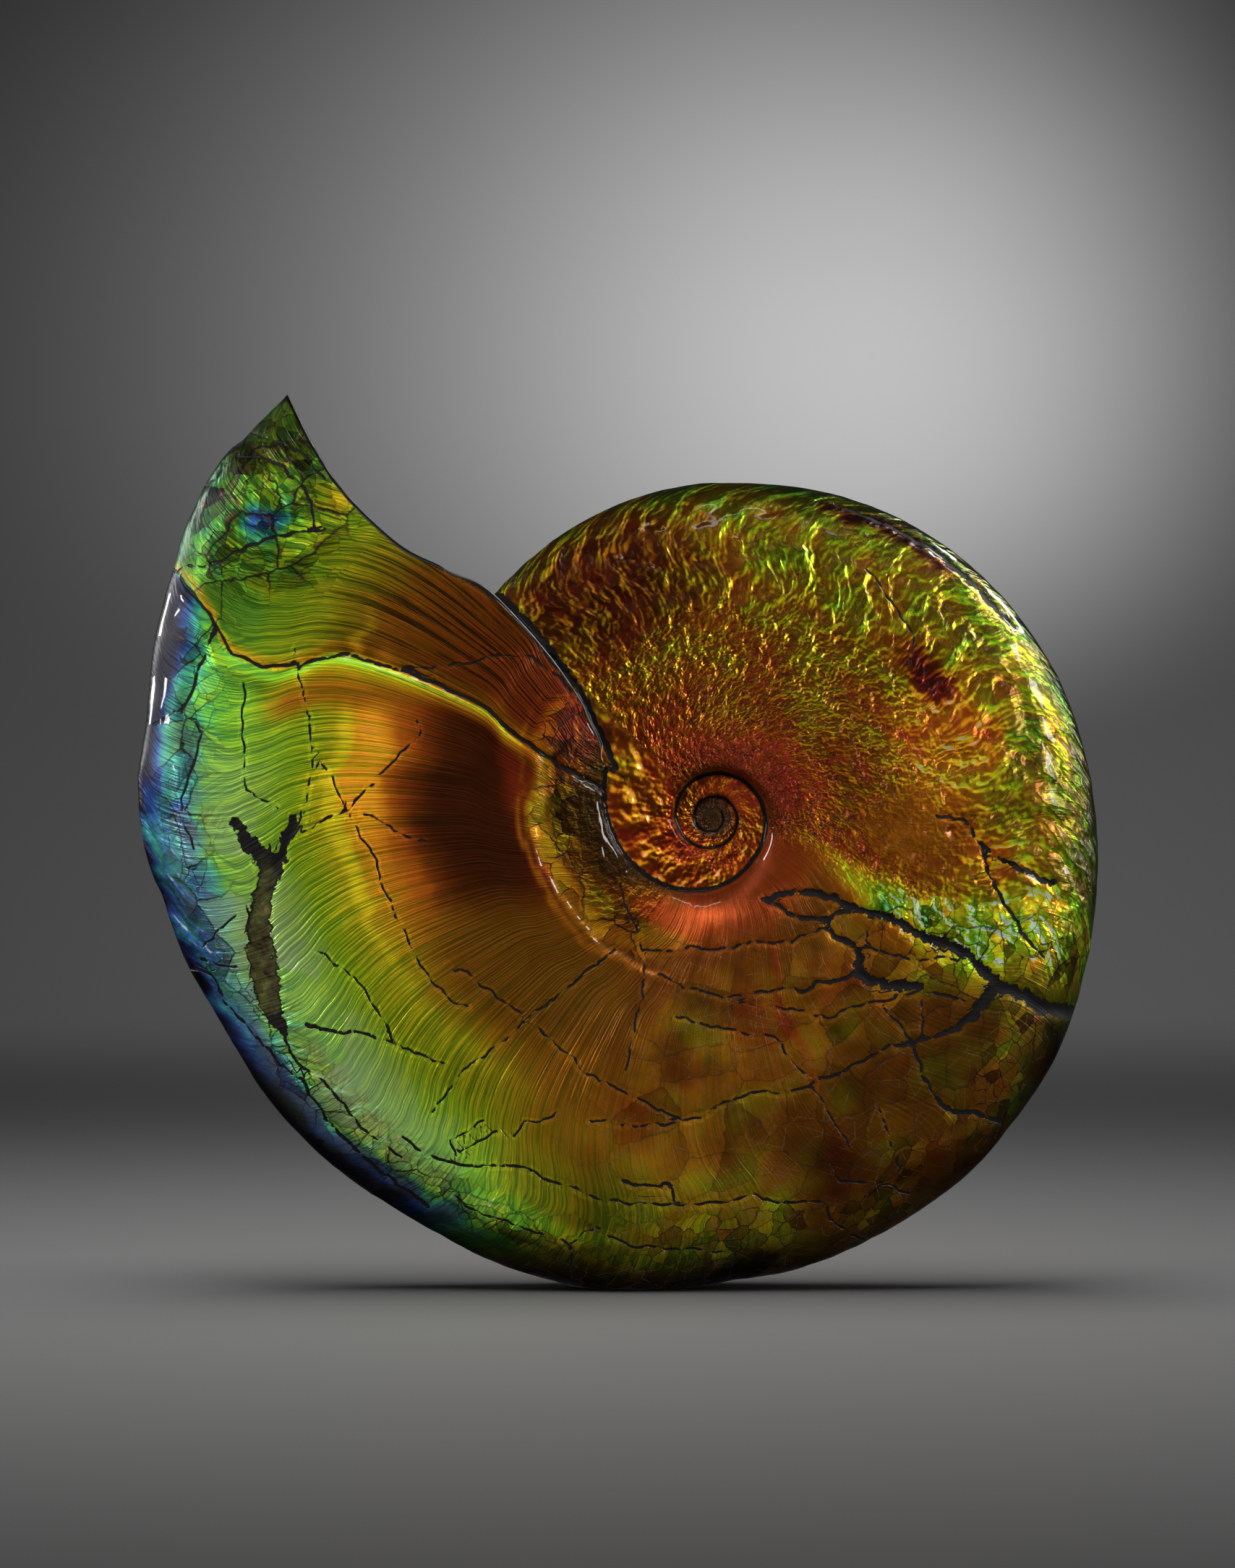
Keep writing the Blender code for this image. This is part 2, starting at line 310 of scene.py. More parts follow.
BASE_EDGE_POWER = 0.33
BASE_BLUNT_SPREAD = 26.0
UMBILICUS_RADIUS = 60.0

print("the outer edge is given by", len(EDGE_TRIM), "pairs of age and trim")

# %% The spiral as formulas
def edge_radius(age):
    """Radius of the outer edge."""
    spiral = MOUTH_RADIUS * GROWTH_PER_TURN ** (age / -TURN) * along(EDGE_TRIM, age)
    return spiral + BASE_BULGE * near(age, BASE_AGE, BASE_SPREAD)


def seam_radius(age):
    """Radius of the seam, the spiral line where each turn sits on the one before."""
    slope = mix(age > HALF_TURN, SEAM_SLOPE_OUTER, SEAM_SLOPE_INNER)
    return SEAM_RADIUS_AT_HALF_TURN * (slope * (HALF_TURN - age)).math("EXPONENT")


def seam_age(radius):
    """Age at which the seam passes a radius."""
    stretch = (radius / SEAM_RADIUS_AT_HALF_TURN).math("LOGARITHM", math.e)
    return HALF_TURN - stretch / mix(stretch < 0.0, SEAM_SLOPE_OUTER, SEAM_SLOPE_INNER)


def widest(age):
    """Half the width of a turn at its shoulder."""
    return HALF_WIDTH_AT_MOUTH * (age.math("MINIMUM", OLDEST_AGE) * -THINNING).math("EXPONENT")


def half_width(age, radius):
    """Distance of a turn's flank from the plane of the coil."""
    foot = seam_radius(age)
    shrunk = GROWTH_PER_TURN ** ((age - TURN).math("MAXIMUM", 0.0) / -TURN)
    edge = edge_radius(age.math("MINIMUM", TURN)) * shrunk
    reach = clip((radius - foot) / (edge - foot))
    climb = clip((age - seam_age(radius)) / (TURN * WALL_TURNS))
    wall = widest(age) - (widest(age) - widest(age + TURN)) * (1.0 - climb) ** 2.0
    bluntness = EDGE_POWER + (BASE_EDGE_POWER - EDGE_POWER) * near(age, BASE_AGE, BASE_BLUNT_SPREAD)
    return wall * (1.0 - reach**LENS_POWER) ** bluntness


radius_one_turn_in = round(MOUTH_RADIUS / GROWTH_PER_TURN, 1)
print("radius in mm at the mouth", MOUTH_RADIUS, "and a turn further in", radius_one_turn_in)

# %% [markdown]
# ## Lines that guide the surface
# The lip, the former lip and the big crack are where the surface breaks, and a grid that runs across them
# turns them into saw teeth. The rays of the grid are therefore bent: the first and the last follow the
# lip, one follows the former lip, a stretch of them follows the growth lines and one follows the crack.
# Those between are blends.

# %% The lip, the former lip, the growth lines and the main crack
LIP = [
    (0, 0.0), (30, 14.0), (56, 19.5), (68, 11.7), (80, 6.5), (96, 2.3), (124, -0.2), (155, -0.7),
    (186, 2.0), (218, 4.0), (252, 3.5), (280, 2.0), (311, 0.0), (330, -1.0),
]
FORMER_LIP = [
    (0.00, 22.0), (0.09, 35.0), (0.15, 36.0), (0.20, 30.5), (0.29, 25.3), (0.37, 22.0), (0.42, 19.2),
    (0.56, 19.8), (0.67, 21.2), (0.74, 25.0), (0.80, 26.8), (0.86, 26.4), (0.91, 23.4), (1.00, 20.5),
    (1.05, 20.0),
]
GROWTH_LINE = [
    (0.00, 0.0), (0.09, 12.0), (0.18, 12.0), (0.30, 6.0), (0.38, 2.4), (0.45, 0.0), (0.50, 0.0),
    (0.61, 0.5), (0.71, 2.5), (0.80, 6.0), (0.87, 7.3), (0.96, 6.4), (1.00, 4.0), (1.05, 3.0),
]
MAIN_CRACK = [
    (0, 192.0), (30, 184.0), (54, 178.0), (63, 187.0), (78, 191.5), (95, 193.8), (110, 195.6),
    (153, 195.5), (170, 194.4), (197, 194.9), (225, 195.0),
]
GUIDE_AGES = {"lip": 0.0, "former lip": 22.0, "growth from": 40.0, "growth to": 120.0, "crack": 192.0,
              "straight from": 240.0, "straight to": 310.0, "lip again": 360.0}


def bend(age, radius):
    """Degrees by which a ray leaves its straight line at a radius."""
    share = radius / edge_radius(age)
    lip = along(LIP, radius)
    former = along(FORMER_LIP, share) - GUIDE_AGES["former lip"]
    growth = along(GROWTH_LINE, share)
    crack = along(MAIN_CRACK, radius) - GUIDE_AGES["crack"]
    lines = [lip, former, growth, growth, crack, 0.0, 0.0, lip]
    ages = list(GUIDE_AGES.values())
    total = lip
    for number in range(1, len(lines)):
        passed = ease((age - ages[number - 1]) / (ages[number] - ages[number - 1]))
        total = mix(passed, total, lines[number])
    return total


print("the rays follow", len(GUIDE_AGES), "guide lines")

# %% [markdown]
# ## A tree for the shell
# The main piece follows a rule, so Geometry Nodes make it. A flat grid is laid first: its columns become
# the rays round the coil, and its rows run from the centre over the front, round the thin edge and back
# to the centre behind. Every number that a reader may want to turn is a named input of the tree.

# %% Open the tree and name its inputs
SHELL_INPUTS = {
    "Rays": "Int", "Front rows": "Int", "Back rows": "Int", "Mouth columns": "Int",
    "Relief": "Float", "Seed": "Float", "Box low": "Vector", "Box high": "Vector",
    "Lines": "Object", "Shell finish": "Material", "Mud finish": "Material",
}


def open_tree(name, inputs):
    """A new geometry tree with named inputs. Gives its board and a dictionary of the inputs' wires."""
    tree = bpy.data.node_groups.new(name, "GeometryNodeTree")
    for label, kind in inputs.items():
        tree.interface.new_socket(label, in_out="INPUT", socket_type="NodeSocket" + kind)
    tree.interface.new_socket("Geometry", in_out="OUTPUT", socket_type="NodeSocketGeometry")
    board = Board(tree)
    first = tree.nodes.new("NodeGroupInput")
    return board, {label: Wire(board, first.outputs[label]) for label in inputs}


board, given = open_tree("ammonite shell", SHELL_INPUTS)
rays, front_rows, back_rows = given["Rays"], given["Front rows"], given["Back rows"]
rows = front_rows + back_rows + 1.0
index = board.node("GeometryNodeInputIndex")
ray = ((index + 0.5) / rows).math("FLOOR")
row = index - ray * rows
print("tree opened with inputs:", ", ".join(given))

# %% [markdown]
# ## Place every point of the grid
# A quarter of the rows crosses the umbilicus, the open hollow at the middle, and the rest crosses the
# flank, closer together near the edge where the shell turns round to its back. Inside the umbilicus a
# point belongs to whichever older turn shows there, so its true age is one or more whole turns higher.

# %% Radius, age and depth of every point
UMBILICUS_PART = 0.25
RAY_CROWDING = 0.42
EDGE_CROWDING = 6.0
A_LITTLE = 0.0001


def store(geometry, name, value, kind="FLOAT", domain="POINT"):
    """Write a named attribute on the geometry."""
    settings = {"data_type": kind, "domain": domain}
    values = {"Geometry": geometry, "Name": name, "Value": value}
    return geometry.board.node("GeometryNodeStoreNamedAttribute", settings, values)


def read(board, name, kind="FLOAT"):
    """Read a named attribute in a geometry tree."""
    return board.node("GeometryNodeInputNamedAttribute", {"data_type": kind}, {"Name": name})


def place_on_coil(geometry, age, radius, depth):
    """Move points to their place round the coil, from millimetres to metres."""
    turn = (age + MOUTH_ANGLE) * DEGREE
    x = (COIL_CENTRE_X + radius * turn.math("COSINE")) * MM
    z = (COIL_CENTRE_Z + radius * turn.math("SINE")) * MM
    place = vector(x, depth * MM, z.math("MAXIMUM", 0.0))
    return geometry.board.node("GeometryNodeSetPosition", values={"Geometry": geometry, "Position": place})


on_front = 1.0 - (row > front_rows)
outward = mix(on_front, (rows - 1.0 - row) / back_rows, row / front_rows)
side = on_front * -2.0 + 1.0
ray_share = ray / rays
ring = UMBILICUS_RADIUS * clip(outward / UMBILICUS_PART)
in_umbilicus = 1.0 - (outward > UMBILICUS_PART + 10.0 * A_LITTLE)
closes = in_umbilicus * (ray_share > 1.0 - A_LITTLE)
ray_share = mix(closes, ray_share, 0.0)
base_age = TURN * ((RAY_CROWDING * ray_share).math("EXPONENT") - 1.0) / (math.exp(RAY_CROWDING) - 1.0)
step = clip((outward - UMBILICUS_PART) / (1.0 - UMBILICUS_PART))
step = step + step**EDGE_CROWDING * (1.0 - step)
guess = ring + (edge_radius(base_age) - UMBILICUS_RADIUS) * step
ray_age = base_age + bend(base_age, guess)
radius = ring + (edge_radius(ray_age) - UMBILICUS_RADIUS) * step
missing = seam_age(radius.math("MAXIMUM", SMALLEST_RADIUS)) - ray_age
whole_turns = (missing / TURN).math("CEIL").math("MAXIMUM", 0.0) * in_umbilicus
age = mix(outward < A_LITTLE, ray_age + TURN * whole_turns, OLDEST_AGE)
depth = side * half_width(age, radius.math("MAXIMUM", SMALLEST_RADIUS))

grid = board.node("GeometryNodeMeshGrid", values={"Vertices X": rays + 1.0, "Vertices Y": rows})
grid = store(grid, "age", age)
grid = store(grid, "radius", radius)
grid = store(grid, "off the lip", ray_age - along(LIP, radius) - TURN * (ray_share > 1.0 - A_LITTLE))
grid = place_on_coil(grid, ray_age, radius, depth)
print("nodes so far, for the coil:", board.count)

# %% [markdown]
# ## Close the mouth
# The last ray lies one turn further back than the first, under the lip, and the strip between them is the
# face of hardened mud that fills the mouth. A second grid spans it: each of its points reads the first
# and the last ray of the shell at its own row, takes a share of both, and follows the curve of the lip.

# %% The mud face between the first and the last ray
MOUTH_BULGE = 1.8
MOUTH_BULGE_START = 50.0

first_open_row = (front_rows * UMBILICUS_PART).math("ROUND")
open_rows = rows - first_open_row - (back_rows * UMBILICUS_PART).math("ROUND")
column = ((index + 0.5) / open_rows).math("FLOOR")
mouth_row = index - column * open_rows + first_open_row
across = column / given["Mouth columns"]


def of_ray(number, value):
    """A value of the shell grid at this row of a ray."""
    values = {"Geometry": grid, "Value": value, "Index": number * rows + mouth_row}
    return board.node("GeometryNodeSampleIndex", {"data_type": "FLOAT", "domain": "POINT"}, values)


depth_now = parts(board.node("GeometryNodeInputPosition"))[1] * (1.0 / MM)
span = {name: (of_ray(rays, value), of_ray(rays * 0.0, value))
        for name, value in (("radius", read(board, "radius")), ("age", read(board, "age")),
                            ("depth", depth_now), ("stray", read(board, "off the lip")))}
mouth = {name: mix(across, *ends) for name, ends in span.items()}
older_edge = edge_radius(across * 0.0 + TURN)
swollen = ease((mouth["radius"] - older_edge) / MOUTH_BULGE_START)
bulge = MOUTH_BULGE * 4.0 * across * (1.0 - across) * swollen
mouth_age = along(LIP, mouth["radius"]) + mouth["stray"] - bulge / mouth["radius"].math("MAXIMUM", 1.0)

values = {"Vertices X": given["Mouth columns"] + 1.0, "Vertices Y": open_rows}
mud_face = board.node("GeometryNodeMeshGrid", values=values)
mud_face = store(mud_face, "age", mouth["age"])
mud_face = store(mud_face, "radius", mouth["radius"])
mud_face = place_on_coil(mud_face, mouth_age, mouth["radius"], mouth["depth"])
mud_face = store(mud_face, "mud", 1.0, domain="FACE")

MERGE_DISTANCE = 0.000004
whole = board.node("GeometryNodeJoinGeometry", values={0: [mud_face, grid]})
whole = board.node("GeometryNodeFlipFaces", values={0: whole})
whole = board.node("GeometryNodeMergeByDistance", values={"Geometry": whole, "Distance": MERGE_DISTANCE})
whole = board.node("GeometryNodeSetShadeSmooth", values={0: whole})
print("nodes so far, with the mouth closed:", board.count)

# %% [markdown]
# ## Cracks, seams and mud-filled gaps
# The shell was crushed and mended by the ground it lay in. The larger cracks are read off the fossil as
# short lists of points in the plane of the coil, X and Z in millimetres, with a width at each end. They
# become loose edges, a tree roughens them, and every point of the shell then measures how far the nearest
# line is and how wide.

# %% Draw the lines as lists of points
FRONT_LINES = [
    ("main crack", 2.4, 7.0, [
        (74, 203), (90, 206), (107, 204), (119, 198), (130, 195), (145, 190), (157, 183), (168, 179),
        (178, 175), (187, 166), (195, 158), (207, 153), (217, 147), (240, 141),
    ]),
    ("crack under it", 1.8, 2.4, [(74, 203), (83, 198), (95, 192), (108, 193), (119, 197)]),
    ("filled gap", 2.0, 5.5, [
        (108, 193), (109, 185), (122, 177), (124, 172), (122, 165), (130, 160), (155, 157),
    ]),
    ("branch above the gap", 1.4, 1.0, [
        (122, 177), (129, 177), (139, 174), (150, 171), (167, 172), (184, 170),
    ]),
    ("long fine crack", 0.5, 2.0, [
        (21, 164), (34, 157), (55, 152), (72, 154), (85, 157), (94, 155), (101, 159), (114, 160),
        (122, 166),
    ]),
    ("crack with a knee", 0.8, 1.5, [
        (62, 149), (77, 147), (95, 145), (108, 141), (118, 147), (134, 150), (155, 155), (178, 150),
    ]),
    ("branch to the rim", 1.0, 2.6, [
        (136, 147), (143, 139), (150, 129), (155, 116), (160, 104), (165, 98), (172, 93), (183, 91),
        (199, 86),
    ]),
    ("short tie", 1.3, 0.8, [(155, 155), (156, 141), (156, 133), (153, 128)]),
    ("long low crack", 1.8, 0.7, [
        (161, 130), (150, 128), (136, 125), (123, 118), (109, 112), (98, 106), (88, 103), (72, 103),
        (61, 101), (50, 96), (42, 91), (34, 88), (8, 86), (-14, 89),
    ]),
    ("dark wedge", 1.5, 8.0, [(161, 130), (172, 135), (183, 143), (189, 152), (197, 157)]),
    ("fine tie", 0.6, 0.6, [(127, 194), (129, 178)]),
    ("crack to the right rim", 1.2, 3.0, [
        (164, 245), (178, 243), (187, 229), (197, 222), (209, 216), (226, 210),
    ]),
    ("crack across the slabs", 2.2, 1.4, [(187, 229), (190, 214), (199, 200), (207, 186), (219, 172)]),
    ("rusty crack", 0.5, 0.8, [(30, 142), (47, 137), (72, 132), (82, 132), (88, 119), (100, 111)]),
    ("upright hairline", 0.5, 0.5, [
        (2, 216), (3, 203), (10, 187), (14, 172), (13, 152), (8, 133), (4, 116),
    ]),
    ("low hairline", 0.6, 0.6, [(100, 106), (108, 94), (113, 83), (118, 75)]),
    ("second low hairline", 0.6, 0.6, [(134, 96), (139, 80), (145, 63)]),
    ("slanting hairline", 0.5, 0.5, [(-2, 176), (-47, 140), (-54, 133), (-80, 114), (-95, 92)]),
    ("crease", 0.7, 1.0, [
        (-153, 277), (-138, 247), (-125, 225), (-118, 204), (-101, 168), (-85, 150), (-76, 146),
    ]),
    ("long slanting crack", 0.7, 0.9, [
        (-89, 169), (-73, 162), (-56, 148), (-31, 128), (-14, 112), (2, 105), (14, 98), (37, 88),
    ]),
    ("stepped hairline", 0.6, 0.6, [
        (-31, 94), (-42, 87), (-46, 88), (-55, 79), (-60, 85), (-83, 70), (-86, 77), (-69, 88),
    ]),
    ("ridge line", 2.0, 1.0, [(-160, 138), (-148, 134), (-132, 134), (-122, 130), (-88, 118)]),
    ("low ledge", 1.4, 1.2, [
        (-110, 79), (-100, 71), (-89, 67), (-69, 65), (-48, 65), (-37, 59), (-23, 54), (-11, 48),
        (28, 45), (60, 47), (68, 51), (82, 46), (106, 47), (109, 37), (128, 24),
    ]),
    ("slab edge", 1.4, 1.4, [(2, 58), (8, 56), (28, 56), (29, 46)]),
    ("low branch", 0.8, 0.8, [(-84, 49), (-75, 42), (-55, 35), (-39, 30), (-24, 25), (-24, 8)]),
    ("low tie", 0.8, 0.8, [(-24, 25), (-11, 34), (-8, 31), (7, 24), (34, 22), (57, 20)]),
    ("right low branch", 0.8, 0.8, [(109, 70), (114, 56), (133, 56), (151, 50)]),
    ("left plate", 1.0, 1.0, [
        (-194, 166), (-207, 167), (-218, 169), (-214, 177), (-205, 186), (-194, 193),
    ]),
    ("hairline over the stripes", 0.6, 0.6, [
        (-154, 176), (-141, 167), (-127, 153), (-123, 144), (-111, 125),
    ]),
    ("crushed edge", 1.6, 1.2, [
        (-171, 131), (-168, 121), (-152, 108), (-141, 96), (-132, 84), (-110, 68),
    ]),
    ("rim line", 1.2, 2.0, [
        (-223, 165), (-212, 162), (-205, 148), (-189, 130), (-177, 117), (-162, 107), (-150, 86),
        (-124, 60), (-100, 42),
    ]),
    ("left arm of the mud strip", 5.0, 9.5, [(-196, 241), (-188, 230), (-177, 215)]),
    ("right arm of the mud strip", 3.5, 9.0, [(-165, 243), (-169, 232), (-177, 215)]),
    ("mud strip", 9.0, 12.0, [(-177, 215), (-182, 200), (-184, 186)]),
    ("wider mud strip", 12.0, 17.0, [(-184, 186), (-183, 170), (-180, 156)]),
    ("foot of the strip", 17.0, 3.0, [(-180, 156), (-177, 145), (-170, 132)]),
    ("crack along the crown", 1.2, 2.6, [
        (112, 405), (127, 400), (148, 391), (168, 379), (184, 365), (205, 342),
    ]),
    ("crack by the purple patch", 0.7, 0.6, [(128, 372), (140, 356), (152, 338), (150, 322)]),
    ("crack across the tip", 1.2, 1.6, [
        (-230, 372), (-206, 375), (-192, 382), (-176, 388), (-160, 390), (-150, 391),
    ]),
    ("crack up the tip", 1.6, 1.2, [
        (-155, 394), (-160, 412), (-172, 424), (-183, 429), (-197, 432), (-214, 414),
    ]),
    ("upper crack of the tip", 1.0, 1.4, [(-194, 445), (-176, 438), (-160, 430), (-150, 417)]),
    ("crack across the strip", 0.7, 1.1, [
        (-136, 326), (-122, 322), (-92, 320), (-67, 325), (-46, 326), (-32, 318), (-23, 306),
    ]),
    ("crack below the former lip", 1.4, 1.8, [(-207, 340), (-218, 312), (-225, 299), (-239, 292)]),
    ("crack down the left", 1.2, 1.0, [(-225, 299), (-213, 287), (-218, 271), (-225, 250), (-218, 228)]),
    ("upright crack", 0.9, 0.9, [(-191, 312), (-192, 290), (-191, 272), (-190, 258), (-174, 249)]),
    ("left crease", 1.0, 1.2, [(-165, 330), (-158, 293), (-156, 274), (-161, 240), (-172, 226)]),
    ("slanting crack", 0.6, 0.9, [(-101, 293), (-101, 286), (-128, 258), (-138, 248), (-162, 236)]),
    ("its branch", 0.6, 0.5, [(-138, 247), (-124, 244), (-110, 234), (-97, 231)]),
    ("ragged crack", 1.2, 1.2, [
        (14, 176), (33, 176), (39, 179), (47, 177), (59, 177), (70, 180), (88, 180), (95, 183),
        (108, 187),
    ]),
]

print(len(FRONT_LINES), "lines drawn on the front")

# %% [markdown]
# The back carries the finer cracks of the front, turned to another place, and two long cracks of its own.
# A seam runs where each turn lies on the one before, and a dark line runs along the former lip. Beside
# the lip runs a painted shadow, the shade in the step down to the older turn. In the list of all lines
# each has its width at both ends, its side and how far it may wander.

# %% Lines on the back, along the seam and beside the lips
FRONT_PLANE = 0.0
BACK_PLANE = 1000.0
BACK_TURN = -115.0
LINE_STEP = 1.5
LINE_WANDER = 9.0
LINE_WANDER_SIZE = 7.0
BACK_CRACKS = [
    (1.5, 4.0, [(50, 250), (74, 243), (98, 240), (126, 236), (150, 231), (178, 229)]),
    (1.5, 4.0, [(70, 84), (98, 80), (130, 78), (168, 72), (210, 70), (250, 63)]),
]


def polar(radius, age):
    """X and Z of a place given by its radius and its angle back from the mouth."""
    turn = math.radians(MOUTH_ANGLE + age)
    return COIL_CENTRE_X + radius * math.cos(turn), COIL_CENTRE_Z + radius * math.sin(turn)


def turned(point, angle):
    """A point of the front turned about the centre of the coil."""
    x, z = point[0] - COIL_CENTRE_X, point[1] - COIL_CENTRE_Z
    c, s = math.cos(math.radians(angle)), math.sin(math.radians(angle))
    return COIL_CENTRE_X + x * c - z * s, COIL_CENTRE_Z + x * s + z * c


SEAM_STEP = 5
SEAM_START = 20
SEAM_WIDTHS = (2.0, 0.6)
FORMER_WIDTHS = (2.0, 1.4)
LIP_SHADOW_WIDTHS = (3.0, 4.6)
MAIN_CRACK_LINES = 4
BEFORE_LIP = 2.0
FIRM = 0.0
HALF_LOOSE = 0.5
LOOSER = 0.6
LOOSE = 1.0

seam = []
for seam_turn in range(SEAM_START, int(OLDEST_AGE), SEAM_STEP):
    slope = SEAM_SLOPE_INNER if seam_turn > HALF_TURN else SEAM_SLOPE_OUTER
    seam.append(polar(SEAM_RADIUS_AT_HALF_TURN * math.exp(slope * (HALF_TURN - seam_turn)), seam_turn))
# Painted shadow: a dark line just beside the lip, in the step down to the older turn.
lip_shadow_line = [polar(radius, angle - math.degrees(BEFORE_LIP / radius)) for radius, angle in LIP[2:9]]


def between(points, value):
    """Read a drawn curve in Python, straight from one pair to the next."""
    for (start, low), (end, high) in zip(points, points[1:]):
        if value <= end:
            return low + (high - low) * (value - start) / (end - start)
    return points[-1][1]


def edge_at(age):
    """The radius of the outer edge as a number."""
    return MOUTH_RADIUS * GROWTH_PER_TURN ** (-age / TURN) * between(EDGE_TRIM, age)


former_crack = [polar(part * edge_at(angle), angle - 0.3) for part, angle in FORMER_LIP[3:-1]]

lines = [(first, last, points, FRONT_PLANE, LOOSE) for name, first, last, points in FRONT_LINES]
lines += [(first, last, [turned(p, BACK_TURN) for p in points], BACK_PLANE, LOOSE)
          for name, first, last, points in FRONT_LINES[MAIN_CRACK_LINES:]]
lines += [(first, last, [polar(*p) for p in points], BACK_PLANE, LOOSE)
          for first, last, points in BACK_CRACKS]
for widths, points, loose in ((SEAM_WIDTHS, seam, FIRM), (FORMER_WIDTHS, former_crack, HALF_LOOSE),
                              (LIP_SHADOW_WIDTHS, lip_shadow_line, LOOSER)):
    lines += [(*widths, points, plane, loose) for plane in (FRONT_PLANE, BACK_PLANE)]
print(len(lines), "lines on both sides")

# %% Lay the lines out as loose edges
drawing = bmesh.new()
width_layer = drawing.verts.layers.float.new("width")
loose_layer = drawing.verts.layers.float.new("loose")
for first, last, points, plane, loose in lines:
    before = None
    for number, (x, z) in enumerate(points):
        point = drawing.verts.new(Vector((x, plane, z)) * MM)
        point[width_layer] = first + (last - first) * number / (len(points) - 1)
        point[loose_layer] = loose
        if before:
            drawing.edges.new((before, point))
        before = point
line_mesh = bpy.data.meshes.new("lines")
drawing.to_mesh(line_mesh)
drawing.free()
line_drawing = bpy.data.objects.new("line_drawing", line_mesh)
bpy.context.scene.collection.objects.link(line_drawing)
print(len(line_mesh.edges), "loose edges")

# %% [markdown]
# ## Measure every point against the lines
# Sharp lines need more than a number at each point, because the mesh is coarser than a crack is wide. So
# each point keeps the arrow to its nearest line: between two points on either side of a crack the arrow
# passes through zero just where the crack runs, and a material can draw it as fine as it likes.

# %% Arrows to the nearest line
line_info = board.node("GeometryNodeObjectInfo", values={0: given["Lines"]}, output="Geometry")
line_curves = board.node("GeometryNodeMeshToCurve", values={0: line_info})
line_curves = board.node("GeometryNodeResampleCurve", {"mode": "LENGTH"},
                         {"Curve": line_curves, "Length": LINE_STEP * MM})
line_points = board.node("GeometryNodeCurveToMesh", values={0: line_curves})
here = board.node("GeometryNodeInputPosition")
wander = away(cloud(here, LINE_WANDER_SIZE * MM, 5.0, 0.65, output=1), HALVES)
wander = scaled(wander, read(board, "loose") * LINE_WANDER * MM)
line_points = board.node("GeometryNodeSetPosition", values={"Geometry": line_points, "Offset": wander})

x, y, z = parts(here)
flat = vector(x, (y > 0.0) * BACK_PLANE * MM, z)
nearest = board.node("GeometryNodeProximity", {"target_element": "EDGES"},
                     {0: line_points, "Sample Position": flat})
arrow = scaled(away(nearest, flat), 1.0 / MM)
gap = nearest.also("Distance") / MM
point_there = board.node("GeometryNodeSampleNearest", {"domain": "POINT"},
                         {0: line_points, "Sample Position": flat})
width_there = board.node("GeometryNodeSampleIndex", {"data_type": "FLOAT", "domain": "POINT"},
                         {"Geometry": line_points, "Value": read(board, "width"), "Index": point_there})
whole = store(whole, "line_arrow", arrow, "FLOAT_VECTOR")
whole = store(whole, "line_gap", gap)
whole = store(whole, "line_width", width_there)
print("nodes so far, with the lines measured:", board.count)

# %% [markdown]
# ## Flat maps of the flank
# Growth lines bend across the flank, so the growth of a place is its age less the bend of its line, and
# its share is how far out it lies between the centre and the edge. Two flat maps of the surface come with
# them. One unrolls the shell round its thin edge, so that plates keep their size there. The other makes
# the spiral straight, so that the hammered lumps can be drawn out along the growth lines. Noise on a flat
# map also takes half the time.

# %% Growth, share and two flat maps
UNROLL_RADIUS = 200.0
MAP_SHEAR = 0.9
LEAST_RADIUS = 2.0
LEAST_MAP_RADIUS = 20.0
SEED_STEP = 37.0
HAMMER_SIZE = 15.0
HAMMER_SQUEEZE = (1.05, 0.70)
# The side from which the hammered lumps are painted as lit.
PAINTED_LIGHT_SIDE = (1.1, 0.7, 0.0)

age = read(board, "age")
radius = read(board, "radius")
inner_growth = GROWTH_PER_TURN ** ((age - TURN).math("MAXIMUM", 0.0) / TURN)
share = radius * inner_growth / edge_radius(age.math("MINIMUM", TURN))
growth = age - along(GROWTH_LINE, share)
behind_former = (age - along(FORMER_LIP, share)) * radius * DEGREE
hammered = ease((growth - 186.0) / 22.0)
inner_turns = ease((age - 350.0) / 30.0)
on_last_turn = 1.0 - (age > TURN)


def straightened(radius):
    """The radius on a map where the spiral is a straight line."""
    return (radius / UNROLL_RADIUS).math("LOGARITHM", math.e) * UNROLL_RADIUS


def signed_cloud(size, detail=2.0, place=None):
    """Noise of features of a size in millimetres, from about -1 to 1."""
    if place is None:
        place = scaled(here, 1.0 / MM)
    return (cloud(plus(place, vector(given["Seed"] * SEED_STEP, 0.0, 0.0)), size, detail) - 0.5) * 3.0


def hammer_marks(place, move=(0.0, 0.0, 0.0)):
    """Height of the hammered lumps, from 0 to 1: large ones with smaller ones on them."""
    return flat_cloud(plus(place, move), HAMMER_SIZE, 2.3, 0.56)


safe_radius = radius.math("MAXIMUM", LEAST_RADIUS)
log_place = vector(age * DEGREE * UNROLL_RADIUS, straightened(safe_radius), y / MM)
to_rim = 2.0 * ease((share - 0.40) / 0.25) - 1.0
unrolled = (HALF_WIDTH_AT_MOUTH - y.math("ABSOLUTE") / MM) * to_rim * (1.0 - inner_turns)
stretch = 1.0 + unrolled / radius.math("MAXIMUM", LEAST_MAP_RADIUS)
map_x = (x / MM - COIL_CENTRE_X) * stretch + y / MM * MAP_SHEAR
map_place = vector(map_x, (z / MM - COIL_CENTRE_Z) * stretch, 0.0)
drawn_out = vector(growth * DEGREE * UNROLL_RADIUS * HAMMER_SQUEEZE[0] + y / MM * MAP_SHEAR,
                   straightened(safe_radius * stretch) * HAMMER_SQUEEZE[1], 0.0)
either_place = {0: on_last_turn, 4: scaled(log_place, 0.27), 5: jittered(drawn_out, 30.0, 16.0)}
hammer_place = board.node("ShaderNodeMix", {"data_type": "VECTOR"}, either_place, output=1)
print("nodes so far, with the maps:", board.count)

